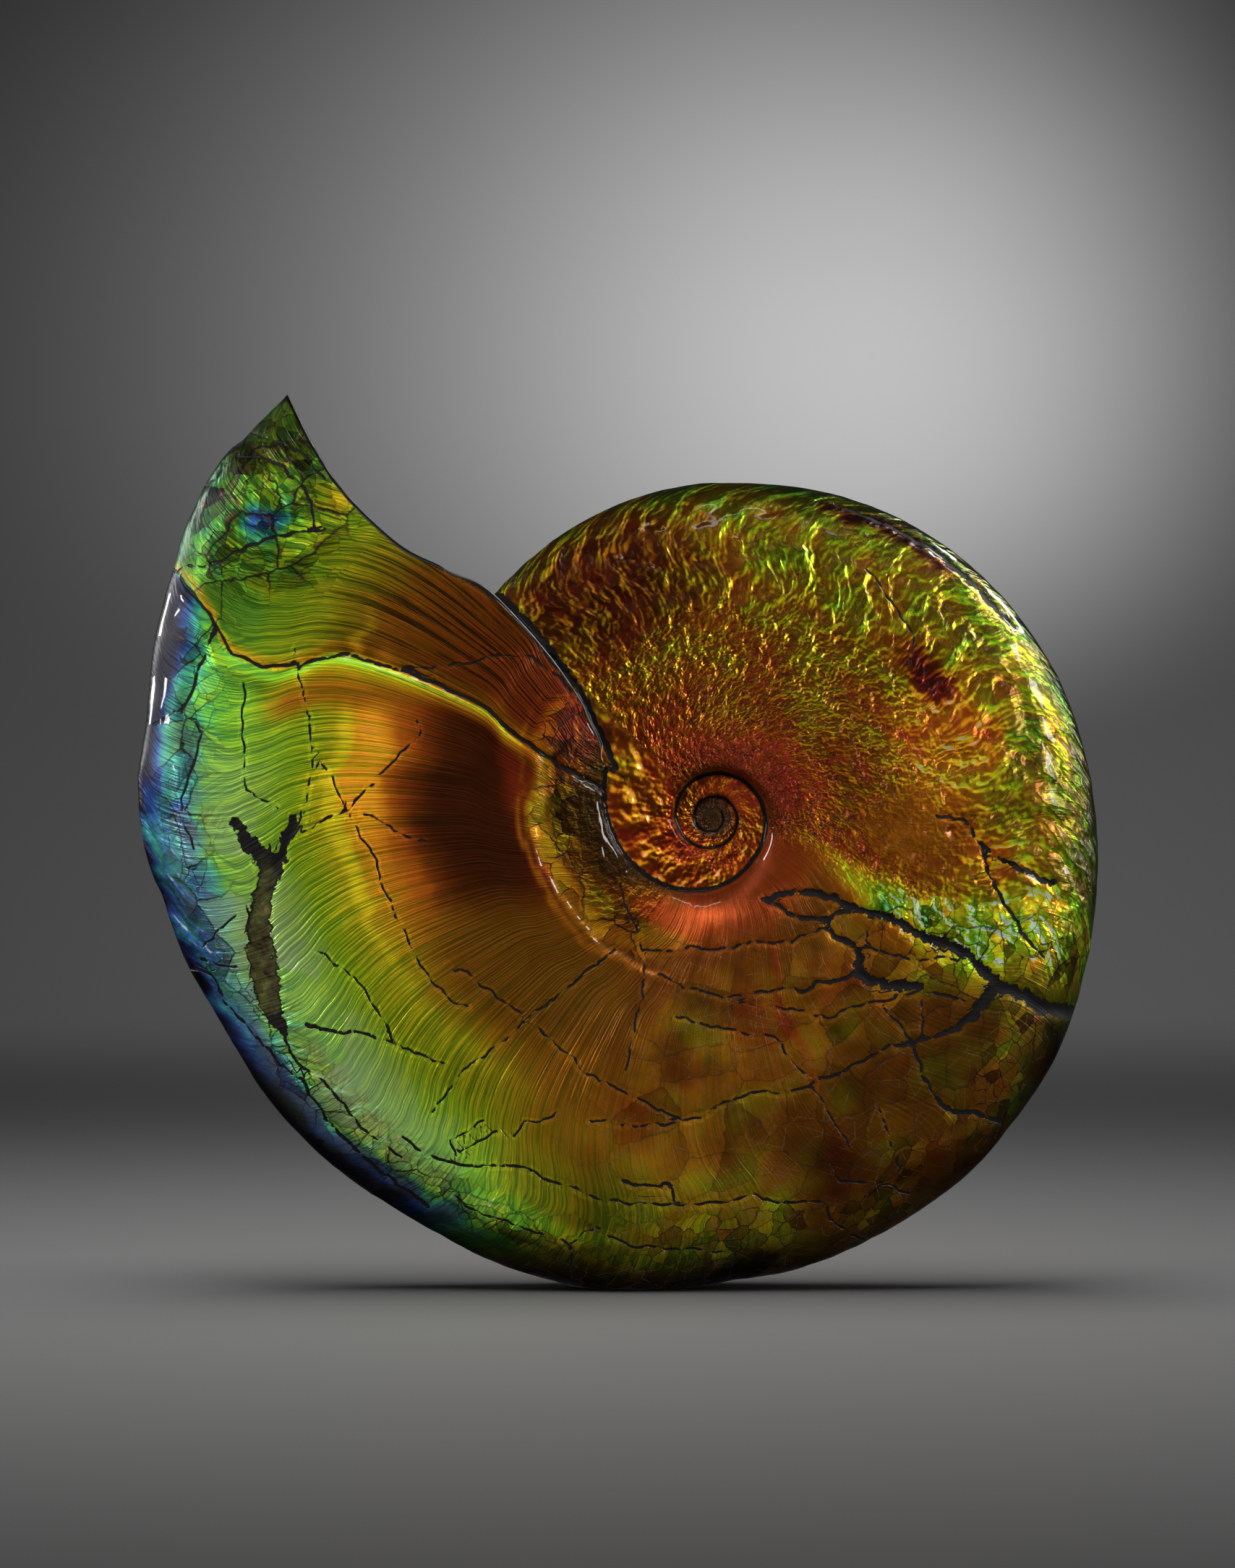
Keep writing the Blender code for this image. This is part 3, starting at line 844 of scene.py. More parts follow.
# %% [markdown]
# ## Relief
# All relief is measured along the surface's own normal: the ridge of the former lip, the broken ledges
# round the umbilicus and along the rim, a soft swell, hammered lumps on the older half, and grooves along
# the lines. Near the edge it may only cut in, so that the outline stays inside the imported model.

# %% Zones where the shell is broken or crushed
LEDGE_AGES = (14.0, 128.0)
LEDGE_RADII = (92.0, 83.0)
LEDGE_WOBBLE = 4.5
RIM_LEDGE_AGES = (34.0, 122.0)
RIM_LEDGE_SHARE = 0.93
RIM_LEDGE_WOBBLE = 0.008
LEDGE_END_FADE = 0.17


def in_ages(ages):
    """1 between two ages and none outside them."""
    part = (age - ages[0]) / (ages[1] - ages[0])
    return ease(part / LEDGE_END_FADE) * ease((1.0 - part) / LEDGE_END_FADE)


along_ledge = clip((age - LEDGE_AGES[0]) / (LEDGE_AGES[1] - LEDGE_AGES[0]))
ledge_radius = LEDGE_RADII[0] + (LEDGE_RADII[1] - LEDGE_RADII[0]) * along_ledge
ledge_radius = ledge_radius + signed_cloud(18.0, 4.0) * LEDGE_WOBBLE
inside_ledge = ease((ledge_radius - radius) / 4.0 + 0.5) * in_ages(LEDGE_AGES)
past_rim_ledge = (share - RIM_LEDGE_SHARE - signed_cloud(16.0) * RIM_LEDGE_WOBBLE) / 0.014
outside_rim = ease(past_rim_ledge + 0.5) * in_ages(RIM_LEDGE_AGES)
crushed_rim = near(growth, 76.0, 30.0) * near(share, 0.885, 0.06)
crushed_crack = near(growth, 212.0, 26.0) * ease((share - 0.35) / 0.2)
crushed_tip = ease((15.0 - growth) / 6.0) * ease((share - 0.72) / 0.14)
crushed_wall = ease((0.31 - share) / 0.05) * ease((100.0 - growth) / 14.0)
print("nodes so far, with the zones:", board.count)

# %% Height of the surface
FORMER_RIDGE = (2.2, 5.0, 10.0)
FORMER_GROOVE = (1.8, -0.6, 4.0)
LEDGE_DROP = 3.0
RIM_LEDGE_DROP = 2.4
SWELL_SIZE = 70.0
SWELL_HEIGHT = 1.1
FOLD_HEIGHT = 0.5
LUMP_HEIGHT = 3.2
INNER_LUMPS = 0.25
CRUSHED_SIZE = 11.0
DEEPEST_GROOVE = 1.8
ROOF_AGE = 55.0

ridge = FORMER_RIDGE[0] * near(behind_former, *FORMER_RIDGE[1:])
groove = FORMER_GROOVE[0] * near(behind_former, *FORMER_GROOVE[1:])
folds = signed_cloud(1.0, 1.0, vector(growth * 0.16, share * 1.5, 0.0)) * ease((176.0 - growth) / 30.0)
swell = signed_cloud(SWELL_SIZE) * SWELL_HEIGHT
lumps = (hammer_marks(hammer_place) - 0.5) * LUMP_HEIGHT
crushing = crushed_rim + crushed_crack * 1.7 + crushed_tip * 1.6 + crushed_wall * 1.1
crushed = signed_cloud(CRUSHED_SIZE, 3.0) * crushing
wall_ridges = signed_cloud(1.0, 2.0, vector(age * 0.06, radius / 4.5, 0.0)) * crushed_wall
rim_dents = signed_cloud(12.0, 3.0) * 0.5 - 0.5

width_now = read(board, "line_width")
gap_now = read(board, "line_gap")
groove_depth = (width_now * 0.35 + 0.3).math("MINIMUM", DEEPEST_GROOVE)
grooves = groove_depth * (1.0 - ease(gap_now / (width_now * 0.6 + 1.6)))
over_seam = radius / seam_radius(age)
roof = mix(age > TURN + ROOF_AGE, radius * 2.0, seam_radius(age - TURN))
clear = ease((over_seam - 1.0) / 0.5) * ease((roof / radius.math("MAXIMUM", 1.0) - 1.0) / 0.3)
rim_fade = ease((1.0 - share) / 0.10)

ledges = LEDGE_DROP * inside_ledge + RIM_LEDGE_DROP * outside_rim * ease((1.0 - share) / 0.03)
height = (ridge - groove) * rim_fade - ledges
height = height + (swell + folds * FOLD_HEIGHT + lumps * hammered + crushed) * ease((1.0 - share) / 0.16)
height = height * clear * (1.0 - ease((age - TURN) / TURN)) + lumps * INNER_LUMPS * inner_turns * clear
height = height + wall_ridges * ease((over_seam - 1.02) / 0.12) * on_last_turn
height = height + rim_dents * (1.0 - rim_fade) - grooves * ease(y.math("ABSOLUTE") / MM / 6.0)
height = height * given["Relief"] * (1.0 - read(board, "mud"))
offset = scaled(board.node("GeometryNodeInputNormal"), height * MM)
print("nodes so far, with the relief:", board.count)

# %% [markdown]
# ## Paint: phase and glow
# Mother-of-pearl is a stack of thin layers, and the thickness of the layers decides the colour. Two
# numbers describe it: phase says where in the order violet, blue, green, yellow, red a place lies, and
# glow says how bright. Both run in bands along the coil, so they are drawn as curves across each of five
# stretches, and named patches go on top.

# %% Bands of phase and glow across the flank
# Where the share nears 1 the rim turns away, and every glow curve falls to near dark there: painted shade.
# On the body and the side the phase also falls to violet there: a painted shift of colour, as a surface
# seen at a slant shows.
STRIP_PHASE = [
    (0, .80), (.16, .80), (.26, .82), (.37, .78), (.5, .74), (.60, .70), (.66, .62), (.74, .54),
    (.80, .50), (.86, .45), (.93, .45), (.97, .42), (1, .34),
]
STRIP_GLOW = [(0, .05), (.16, .12), (.26, .13), (.37, .12), (.5, .10), (.62, .10), (.70, .15), (.76, .24),
              (.85, .25), (.93, .18), (.98, .08), (1, .05)]
BODY_PHASE = [
    (0, .80), (.2, .72), (.30, .74), (.33, .84), (.42, .77), (.5, .765), (.55, .74), (.59, .695),
    (.64, .62), (.68, .56), (.74, .50), (.80, .48), (.86, .44), (.91, .36), (.945, .18), (.97, .07),
    (1, .03),
]
BODY_GLOW = [
    (0, .05), (.2, .10), (.29, .16), (.33, .13), (.40, .065), (.50, .17), (.555, .38), (.60, .42),
    (.65, .38), (.70, .34), (.78, .42), (.86, .58), (.91, .54), (.945, .24), (.975, .06), (1, .03),
]
SIDE_PHASE = [
    (0, .80), (.2, .72), (.30, .72), (.36, .72), (.45, .69), (.55, .66), (.61, .61), (.645, .57),
    (.68, .555), (.74, .52), (.80, .48), (.86, .43), (.91, .38), (.945, .20), (.97, .08), (1, .03),
]
SIDE_GLOW = [
    (0, .05), (.2, .10), (.29, .18), (.36, .14), (.5, .17), (.58, .20), (.63, .25), (.645, .30),
    (.68, .27), (.74, .36), (.80, .52), (.86, .70), (.91, .60), (.945, .24), (.975, .06), (1, .03),
]
LOW_PHASE = [
    (0, .80), (.2, .80), (.3, .74), (.45, .71), (.6, .69), (.72, .65), (.82, .59), (.9, .58), (.95, .6),
    (1, .7),
]
LOW_GLOW = [(0, .08), (.18, .22), (.25, .26), (.3, .14), (.45, .17), (.6, .18), (.75, .155), (.85, .125),
            (.93, .045), (.97, .008), (1, .004)]
OLD_PHASE = [(0, .80), (.2, .79), (.3, .75), (.45, .70), (.6, .66), (.75, .61), (.9, .57), (1, .55)]
OLD_GLOW = [
    (0, .1), (.15, .2), (.27, .28), (.35, .22), (.5, .22), (.7, .22), (.9, .16), (.96, .08), (1, .03),
]
PATCHES = [
    ("blue spot near the tip", 5.5, .88, 2.0, .035, .20, .30),
    ("dark tip", -5.0, .97, 6, .06, .50, .06),
    ("teal plates on the left rim", 30, .93, 8, .03, .30, .16),
    ("blue band on the left", 46, .91, 12, .03, .20, .38),
    ("blue foil on the left rim", 52, .965, 16, .03, .22, .60),
    ("blue glints on the low left rim", 76, .955, 16, .014, .13, .30),
    ("bright green band low left", 78, .885, 26, .032, .45, .62),
    ("lime line", 42, .650, 20, .014, .585, .58),
    ("yellow orange band", 36, .60, 13, .035, .665, .72),
    ("dark red heart", 47, .42, 21, .085, .765, .048),
    ("olive beside the heart", 88, .46, 20, .12, .68, .12),
    ("red beside the lip", 28, .335, 10, .03, .84, .20),
    ("orange edge of the ledge", 62, .338, 46, .005, .72, .30),
    ("lime facets under the ledge", 52, .305, 40, .018, .66, .34),
    ("brown slope under the ledge", 60, .262, 44, .018, .68, .15),
    ("dark wall of the umbilicus", 40, .200, 50, .040, .66, .030),
    ("red fan", 110, .215, 30, .030, .80, .46),
    ("red streak", 155, .48, 1.6, .18, .80, .26),
    ("green band beside the crack", 200, .65, 7, .33, .54, .55),
    # The two slabs get a glow high enough to turn white: painted highlights on green slabs.
    ("white green slab", 200, .80, 6, .10, .50, 1.0),
    ("second white green slab", 199, .56, 5, .06, .52, 1.0),
    ("smooth orange flank", 220, .5, 13, .16, .73, .26),
    ("red band round the umbilicus", 240, .275, 34, .035, .79, .36),
    ("gold beside the second crack", 213, .73, 6, .10, .66, .48),
    ("gold facets", 242, .66, 15, .14, .67, .56),
    ("yellow right rim", 246, .93, 16, .035, .58, .26),
    ("purple brown patch", 257, .70, 7, .05, .95, .12),
    ("green over the crown", 278, .80, 26, .10, .585, .20),
    ("dark band along the crown", 276, .95, 12, .02, .78, .03),
    ("brown low right", 160, .80, 22, .20, .70, .085),
    ("red beside the mouth", 336, .78, 22, .20, .74, .10),
]


def paint(bands):
    """Blend five share curves along the coil."""
    strip, body, side, low, old = (along(points, share_here) for points in bands)
    total = mix(ease(behind_former / 2.0 + 0.5), strip, body)
    total = mix(ease((growth_here - 54.0) / 22.0), total, side)
    total = mix(ease((growth_here - 86.0) / 26.0), total, low)
    return mix(ease((growth_here - 186.0) / 6.0), total, old)


print("bands of", len(BODY_PHASE), "pairs and", len(PATCHES), "patches")

# %% [markdown]
# One patch is the same few sums each time, and a tree slows down as it grows. So the sums live in a small
# tree of their own, a node group, and the shell's tree holds one node for each patch.

# %% A small tree that lays one patch
PATCH_INPUTS = [
    "phase", "glow", "growth", "share", "weight", "at growth", "at share", "along growth", "over share",
    "patch phase", "patch glow",
]
PATCH_REACH = 1.6
PATCH_FADE = 1.1

patch_tree = bpy.data.node_groups.new("patch of colour", "GeometryNodeTree")
for label in PATCH_INPUTS:
    patch_tree.interface.new_socket(label, in_out="INPUT", socket_type="NodeSocketFloat")
for label in ("new phase", "new glow"):
    patch_tree.interface.new_socket(label, in_out="OUTPUT", socket_type="NodeSocketFloat")
patch_board = Board(patch_tree)
patch_first = patch_tree.nodes.new("NodeGroupInput")
patch = {label: Wire(patch_board, patch_first.outputs[label]) for label in PATCH_INPUTS}
far_along = (patch["growth"] - patch["at growth"]) / patch["along growth"]
far_over = (patch["share"] - patch["at share"]) / patch["over share"]
distance = (far_along * far_along + far_over * far_over).math("SQRT")
mask = ease((PATCH_REACH - distance) / PATCH_FADE) * patch["weight"]
patch_last = patch_tree.nodes.new("NodeGroupOutput")
for number, label in enumerate(("phase", "glow")):
    patch_tree.links.new(mix(mask, patch[label], patch["patch " + label]).socket, patch_last.inputs[number])
print("nodes in the patch's tree:", patch_board.count)

# %% Lay the bands, then the patches
INNER_PHASE = 0.76
INNER_GLOW = 0.42

back_shift = ease(y / (30.0 * MM)) * (growth * DEGREE).math("SINE") * 25.0
growth_here = growth + back_shift + signed_cloud(34.0, 3.0) * 3.0
elsewhere = vector(x / MM + 500.0, y / MM, z / MM)
share_here = share + signed_cloud(26.0, 3.0, elsewhere) * 0.016
along_lines = signed_cloud(1.6, 3.0, vector(growth * 0.5, share * 1.2, y / MM * 0.02))
share_here = share_here + along_lines * 0.022 * ease((share - 0.40) / 0.10)
phase = paint((STRIP_PHASE, BODY_PHASE, SIDE_PHASE, LOW_PHASE, OLD_PHASE))
glow = paint((STRIP_GLOW, BODY_GLOW, SIDE_GLOW, LOW_GLOW, OLD_GLOW))
outer_turn = 1.0 - ease((age - 356.0) / 4.0)
for name, *numbers in PATCHES:
    wires = dict(enumerate([phase, glow, growth_here, share_here, outer_turn, *numbers]))
    phase = board.node("GeometryNodeGroup", {"node_tree": patch_tree}, wires)
    glow = phase.also("new glow")
phase = mix(inner_turns, phase, INNER_PHASE)
glow = mix(inner_turns, glow, INNER_GLOW)
print("nodes so far, with the paint:", board.count)

# %% [markdown]
# The former lip is the brightest line of all: just behind it the layers thin out, and the colour runs
# through white, green and yellow into red within two centimetres.

# %% Colours behind the former lip
FOLD_PHASE = [(0, .33), (1.5, .37), (3.5, .50), (7, .58), (12, .64), (20, .70), (34, .76)]
FOLD_GLOW = [(0, .3), (1.2, 1.4), (3, .9), (6, .62), (10, .48), (16, .36), (24, .24), (34, .14)]

fold_length = mix(ease((share - 0.45) / 0.22), 0.34, 1.0)
behind_fold = behind_former / fold_length
fold_zone = ease(behind_former / 1.0) * (1.0 - ease((behind_fold - 16.0) / 16.0))
fold_zone = fold_zone * ease((share - 0.28) / 0.1) * ease((0.95 - share) / 0.1)
fold_zone = fold_zone * ease((80.0 - growth) / 20.0)
outer_fold = ease((share - 0.74) / 0.08)
fold_zone = fold_zone * mix(outer_fold, 1.0, ease((10.0 - behind_former) / 8.0))
phase = mix(fold_zone, phase, along(FOLD_PHASE, clip(behind_fold, 0.0, 34.0)) - outer_fold * 0.04)
glow = mix(fold_zone, glow, along(FOLD_GLOW, clip(behind_fold, 0.0, 34.0)) * mix(outer_fold, 0.85, 0.6))
before_fold = near(behind_former, -3.0, 7.0) * (behind_former < 0.0)
phase = mix(before_fold * 0.8, phase, 0.69)
glow = glow * (1.0 + before_fold * 0.6)
print("nodes so far, with the former lip:", board.count)

# %% [markdown]
# The material needs more than the paint, so what it reads is stored on the mesh as named attributes. Each
# is worked out once for each point here, where the material would work it out again for each ray of
# light.

# %% Store what the material reads
PLATE_JITTER = (14.0, 9.0)
TINT_SIZE = 32.0
MOTTLE_SIZE = 45.0

smooth_flank = near(growth, 220.0, 22.0) * near(share, 0.5, 0.24)
facet_zone = clip(hammered + inner_turns) * (1.0 - smooth_flank * 0.85)
foil_zone = crushed_rim * 0.8 + crushed_tip * 0.5 + near(growth, 50.0, 20.0) * ease((share - 0.93) / 0.02)
crushed_band = near(growth, 200.0, 12.0) * ease((share - 0.4) / 0.1)
facet_zone = clip(facet_zone + foil_zone + crushed_band * 0.6 + crushed_wall * 0.6)
for name, value in (("growth", growth), ("share", share), ("phase", phase), ("glow", glow),
                    ("facet_zone", facet_zone), ("hammered", hammered),
                    ("facet_tint", flat_cloud(map_place, TINT_SIZE, 1.5)),
                    ("from_lip", read(board, "off the lip") * radius * DEGREE),
                    ("mottle", cloud(log_place, MOTTLE_SIZE, 4.0, 0.6))):
    whole = store(whole, name, value)
for name, value in (("map_place", map_place), ("plate_place", jittered(map_place, *PLATE_JITTER)),
                    ("hammer_place", hammer_place)):
    whole = store(whole, name, value, "FLOAT_VECTOR")
whole = board.node("GeometryNodeSetPosition", values={"Geometry": whole, "Offset": offset})
print("nodes in the shell tree:", board.count)

# %% [markdown]
# ## Nacre under varnish
# The finish is worked out in steps. A mosaic of small plates, fine streaks along the growth lines and
# hammered facets disturb the phase and the glow. A ramp turns the phase into a colour, and the glow makes
# it bright or dark. The drawn lines darken it or fill it with mud. A clear coat lies over all, as the
# varnish does, and a bump breaks up the reflection of the layers below it.

# %% Helpers for finishes
def open_finish(name):
    """A new material with an empty tree."""
    material = bpy.data.materials.new(name)
    material.use_nodes = True
    material.node_tree.nodes.clear()
    return material, Board(material.node_tree)


def stored(board, name, output="Fac"):
    """An attribute of the mesh."""
    return board.node("ShaderNodeAttribute", {"attribute_name": name}, output=output)


def blend(share, first, second):
    """Blend two colours."""
    inputs = {0: share, 6: first, 7: second}
    return share.board.node("ShaderNodeMix", {"data_type": "RGBA"}, inputs, output=2)


def ramp(value, stops):
    """Colours along a value."""
    return value.board.node("ShaderNodeValToRGB", {"stops": stops}, {0: value})


def close_finish(board, values, bump):
    """End a finish with the surface shader."""
    values["Normal"] = bump
    surface = board.node("ShaderNodeBsdfPrincipled", values=values)
    board.node("ShaderNodeOutputMaterial", values={0: surface})


print("a finish is opened, fed with attributes and closed")

# %% [markdown]
# Thin layers give the order of colours that oil on water has. On the fossil it runs from violet at the
# rim through blue, green and yellow to a deep red at the umbilicus, so one ramp from 0 to 1 holds them
# all. At the rim the violet is partly painted: it stands for the shift of colour of a surface seen at a
# slant. The dark colours of cracks, rust and scratches lie beside it.

# %% Colours of the layers
PHASE_COLOURS = [
    (0.00, (.018, .011, .032)), (.08, (.024, .022, .110)), (.16, (.024, .090, .360)),
    (.24, (.050, .300, .380)), (.32, (.060, .520, .320)), (.42, (.140, .540, .040)),
    (.52, (.360, .600, .012)), (.60, (.740, .600, .012)), (.68, (.780, .300, .010)),
    (.78, (.520, .090, .006)), (.88, (.520, .040, .018)), (1.00, (.120, .016, .012)),
]
# Dark of the cracks, also used for the painted shadow beside the lip.
CRACK_AND_SHADOW_COLOUR = (.007, .006, .006, 1.0)
RUST_COLOUR = (.085, .035, .012, 1.0)
PALE_COLOUR = (.22, .15, .085, 1.0)
PAINTED_HIGHLIGHT_WHITE = (.80, .86, .74, 1.0)
MILKY_COLOUR = (.40, .48, .27, 1.0)

shell_finish, nacre = open_finish("nacre")
age, radius, growth, share = (stored(nacre, name) for name in ("age", "radius", "growth", "share"))
phase, glow, hammered, mottle = (stored(nacre, name) for name in ("phase", "glow", "hammered", "mottle"))
facet_tint, facet_zone = (stored(nacre, name) for name in ("facet_tint", "facet_zone"))
map_place, plate_place, hammer_place = (
    stored(nacre, name, "Vector") for name in ("map_place", "plate_place", "hammer_place"))
print(len(PHASE_COLOURS), "colours in the ramp")

# %% [markdown]
# The nacre has split into a mosaic of plates, with chips between them at the tip, along the rim and
# beside the large crack. Cells on the flat map make both. Their edges become thin dark lines, and each
# cell's random colour tilts its plate, which turns its phase, its glow and its streaks a little.

# %% Plates between fine cracks
PLATE_SIZE = 27.0
CHIP_SIZE = 10.0
RAGGED_SIZE = 5.0

ragged = flat_cloud(map_place, RAGGED_SIZE, 3.0, 0.6)
ragged_wide = (ragged - 0.5) * 2.2
wobbled = plus(plate_place, scaled(vector(ragged_wide, ragged_wide, 0.0), 1.2))
plates = flat_cells(wobbled, PLATE_SIZE, "DISTANCE_TO_EDGE") * PLATE_SIZE
plate_tint, plate_turn, plate_shift = parts(flat_cells(wobbled, PLATE_SIZE, output="Color"))
chips = flat_cells(wobbled, CHIP_SIZE, "DISTANCE_TO_EDGE") * CHIP_SIZE
chip_tint, _, chip_shift = parts(flat_cells(wobbled, CHIP_SIZE, output="Color"))

tip_zone = ease((14.0 - growth) / 5.0) * ease((share - 0.70) / 0.1)
rim_zone = near(share, 0.92, 0.09) * ease((112.0 - growth) / 10.0)
low_zone = ease((growth - 98.0) / 30.0) * ease((190.0 - growth) / 4.0) * ease((share - 0.28) / 0.1)
crack_zone = near(growth, 196.0, 18.0) * ease((share - 0.4) / 0.1)
under_ledge = near(share, 0.28, 0.06) * ease((115.0 - growth) / 10.0)
plate_zone = clip(tip_zone + rim_zone + low_zone * 0.4 + crack_zone + under_ledge)
low_rim = low_zone * ease((share - 0.80) / 0.06)
chip_zone = clip(tip_zone * 0.6 + rim_zone * 0.9 + low_rim + crack_zone + under_ledge * 2.0)
chip_zone = chip_zone * clip(ease((mottle - 0.44) / 0.08) + tip_zone * 0.7)

plate_lines = (1.0 - ease((plates - 0.15) / (ragged * (1.2 + tip_zone)))) * plate_zone
plate_lines = plate_lines.math("MAXIMUM", (1.0 - ease((chips - 0.1) / (ragged * 0.8))) * chip_zone)
plate_rust = near(plates, 0.9, 1.5 + tip_zone * 2.5) * plate_zone * ease((ragged - 0.5) / 0.15)
print("nodes in the nacre, with the plates:", nacre.count)

# %% [markdown]
# Growth lines show as thousands of fine streaks, some of them thin and bright as wire. Noise that is
# squeezed across the lines and drawn out along them gives the streaks, and a thin line is drawn wherever
# that noise passes a number.

# %% Streaks along the growth lines
STREAK_SIZE = 0.52
BRIGHT_LINES = [(0.57, 0.030, 0.6), (0.48, 0.018, 0.3)]
DARK_LINE = (0.42, 0.035, 0.25)


def growth_noise(growth, share, detail):
    """Noise drawn out along the growth lines."""
    return flat_cloud(vector(growth, share * 1.4, 0.0), STREAK_SIZE, detail, 0.64)


def thin_line(value, centre, width, strength):
    """A line where the value passes a number."""
    return (1.0 - ease((value - centre).math("ABSOLUTE") / width)) * strength


turned_growth = growth + (plate_tint - 0.5) * plate_zone * 6.0 + (chip_tint - 0.5) * chip_zone * 9.0
turned_share = share + (plate_turn - 0.5) * plate_zone * 0.2
fine = growth_noise(turned_growth, turned_share, 4.0)
streak = (fine - 0.5) * 1.1
for line in BRIGHT_LINES:
    streak = streak + thin_line(fine, *line)
streak = streak - thin_line(fine, *DARK_LINE)
streak_zone = mix(ease((growth - 100.0) / 60.0), 1.0, 0.35) * mix(hammered, 1.0, 0.60) * (age < TURN)
streak_zone = streak_zone * ease((share - 0.12) / 0.05) * mix(ease((share - 0.93) / 0.03), 1.0, 0.3)
streak = streak * streak_zone
fan_zone = near(growth, 112.0, 36.0) * near(share, 0.225, 0.07)
streak_contrast = 1.3 + near(growth, 8.0, 20.0) * ease((0.78 - share) / 0.2) * 2.4 + tip_zone
streak_contrast = streak_contrast + fan_zone * 1.6
print("nodes in the nacre, with the streaks:", nacre.count)

# %% [markdown]
# The older half looks hammered: each lump gets a painted bright side and a painted dark side, as if lit
# from one side, and a few get a painted spark. The slope of the same noise that raised the lumps says
# which side a place is on.

# %% Painted light and dark sides of the hammered lumps
SLOPE_GAIN = 7.5
CALM_SHARE = 0.6

lump = hammer_marks(hammer_place)
facet_slope = hammer_marks(hammer_place, PAINTED_LIGHT_SIDE) - lump
painted_facet_light = ease(facet_slope * SLOPE_GAIN + 0.40)
painted_facet_spark = ease((facet_slope - 0.055) / 0.04)
calm = ease((facet_tint - 0.48) / 0.12) * CALM_SHARE
lively_painted_glow = 0.38 + painted_facet_light * painted_facet_light * 2.1
painted_facet_glow = mix(calm, lively_painted_glow, 0.72 + painted_facet_light * 0.60) + painted_facet_spark
# Painted glint: on the slabs beside the big crack, the painted lit sides of the lumps are made much
# brighter, so they turn white.
slab_glint_zone = near(growth, 199.0, 9.0) * ease((share - 0.45) / 0.1) * ease((0.95 - share) / 0.04)
slab_painted_glint = slab_glint_zone * ease((painted_facet_light - 0.62) / 0.3)
print("nodes in the nacre, with the facets:", nacre.count)

# %% [markdown]
# Each of these marks shifts the colour a little and changes the brightness more. So they are added to the
# phase in small shares, and the glow is multiplied by them, which keeps dark places dark.

# %% What the streaks, lumps and plates do to the phase and the glow
GLOW_GAIN = 1.5
LEAST_GLOW = 0.12
SLAB_GLINT_GAIN = 3.0

phase = phase - streak * fan_zone * 0.12 + streak * 0.09
phase = phase + (facet_tint - 0.5) * clip(facet_zone + low_zone) * 0.26
phase = phase - (painted_facet_light - 0.5) * facet_zone * 0.12 - (lump - 0.5) * facet_zone * 0.20
phase = phase + ((plate_shift - 0.5) * plate_zone + (chip_shift - 0.5) * chip_zone) * 0.10
phase = phase + (ragged - 0.5) * mix(facet_zone, 0.03, 0.12)
glow = glow * (1.0 + streak * streak_contrast).math("MAXIMUM", LEAST_GLOW)
glow = glow * mix(facet_zone, 1.0, painted_facet_glow) * GLOW_GAIN
chip_contrast = chip_zone * (1.3 + tip_zone * 0.6)
glow = glow * (1.0 + (plate_turn - 0.5) * plate_zone * 0.7 + (chip_tint - 0.5) * chip_contrast)
glow = glow * (0.7 + mottle * 0.6) * (1.0 + (ragged - 0.5) * facet_zone * 1.2)
glow = glow * (1.0 + (mottle - 0.5) * low_zone * 2.4 + (plate_tint - 0.5) * low_zone * 0.7)
# The painted glint on the slabs beside the crack.
glow = glow * (1.0 + slab_painted_glint * SLAB_GLINT_GAIN)
print("nodes in the nacre, with phase and glow disturbed:", nacre.count)

# %% [markdown]
# Polishing left fine scratches, and the lower part is covered with a net of tan hairlines. Black veins
# run between the lumps. Scratches are noise squeezed into long lines in two directions, hairlines are the
# edges of cells, and a vein runs wherever a cloud passes its middle value.

# %% Scratches, hairlines and veins
HAIR_SIZE = 15.0
SCRATCH_SQUEEZE = (0.02, 1.1)

x, y, _ = parts(map_place)
tilted = vector((x + y) * SCRATCH_SQUEEZE[0], (x - y) * SCRATCH_SQUEEZE[1], 0.0)
crossed = vector((x - y * 0.35) * SCRATCH_SQUEEZE[0], (x * 0.35 + y) * SCRATCH_SQUEEZE[1], 0.0)
scratches = ease((flat_cloud(tilted, 1.0) - 0.66) / 0.05) + ease((flat_cloud(crossed, 1.0) - 0.66) / 0.05)
scratch_zone = near(growth, 140.0, 65.0) * clip(mottle * 1.4)
hair_gap = flat_cells(map_place, HAIR_SIZE, "DISTANCE_TO_EDGE") * HAIR_SIZE
hairs = 1.0 - ease((hair_gap - 0.08) / 0.26)
hairs = hairs * low_zone * ease((mottle - 0.42) / 0.06) * ease((ragged - 0.44) / 0.06)
from_middle = (flat_cloud(map_place, 24.0, 5.0, 0.62) - 0.5).math("ABSOLUTE")
veins = 1.0 - ease((from_middle - 0.002) / 0.007)
veins = veins * clip(hammered + scratch_zone * 0.6) * ease((mottle - 0.40) / 0.1)
print("nodes in the nacre, with the scratches:", nacre.count)

# %% [markdown]
# The drawn lines come last. The length of the stored arrow is the distance from the line, and where it is
# less than half the line's width the nacre gives way to a dark crack, or to brown mud where the line is
# wide; the line beside the lip is darkened the same way as painted shadow. Beside a line the colour is a
# little brighter, a painted glint along the edge of the crack.

# %% Distance from the drawn lines
MUD_STOPS = [
    (.30, (.006, .005, .002)), (.48, (.040, .030, .010)), (.58, (.035, .048, .012)),
    (.70, (.110, .075, .024)),
]
MUDDY_WIDTH = 8.0
THINNEST_REACH = 0.55

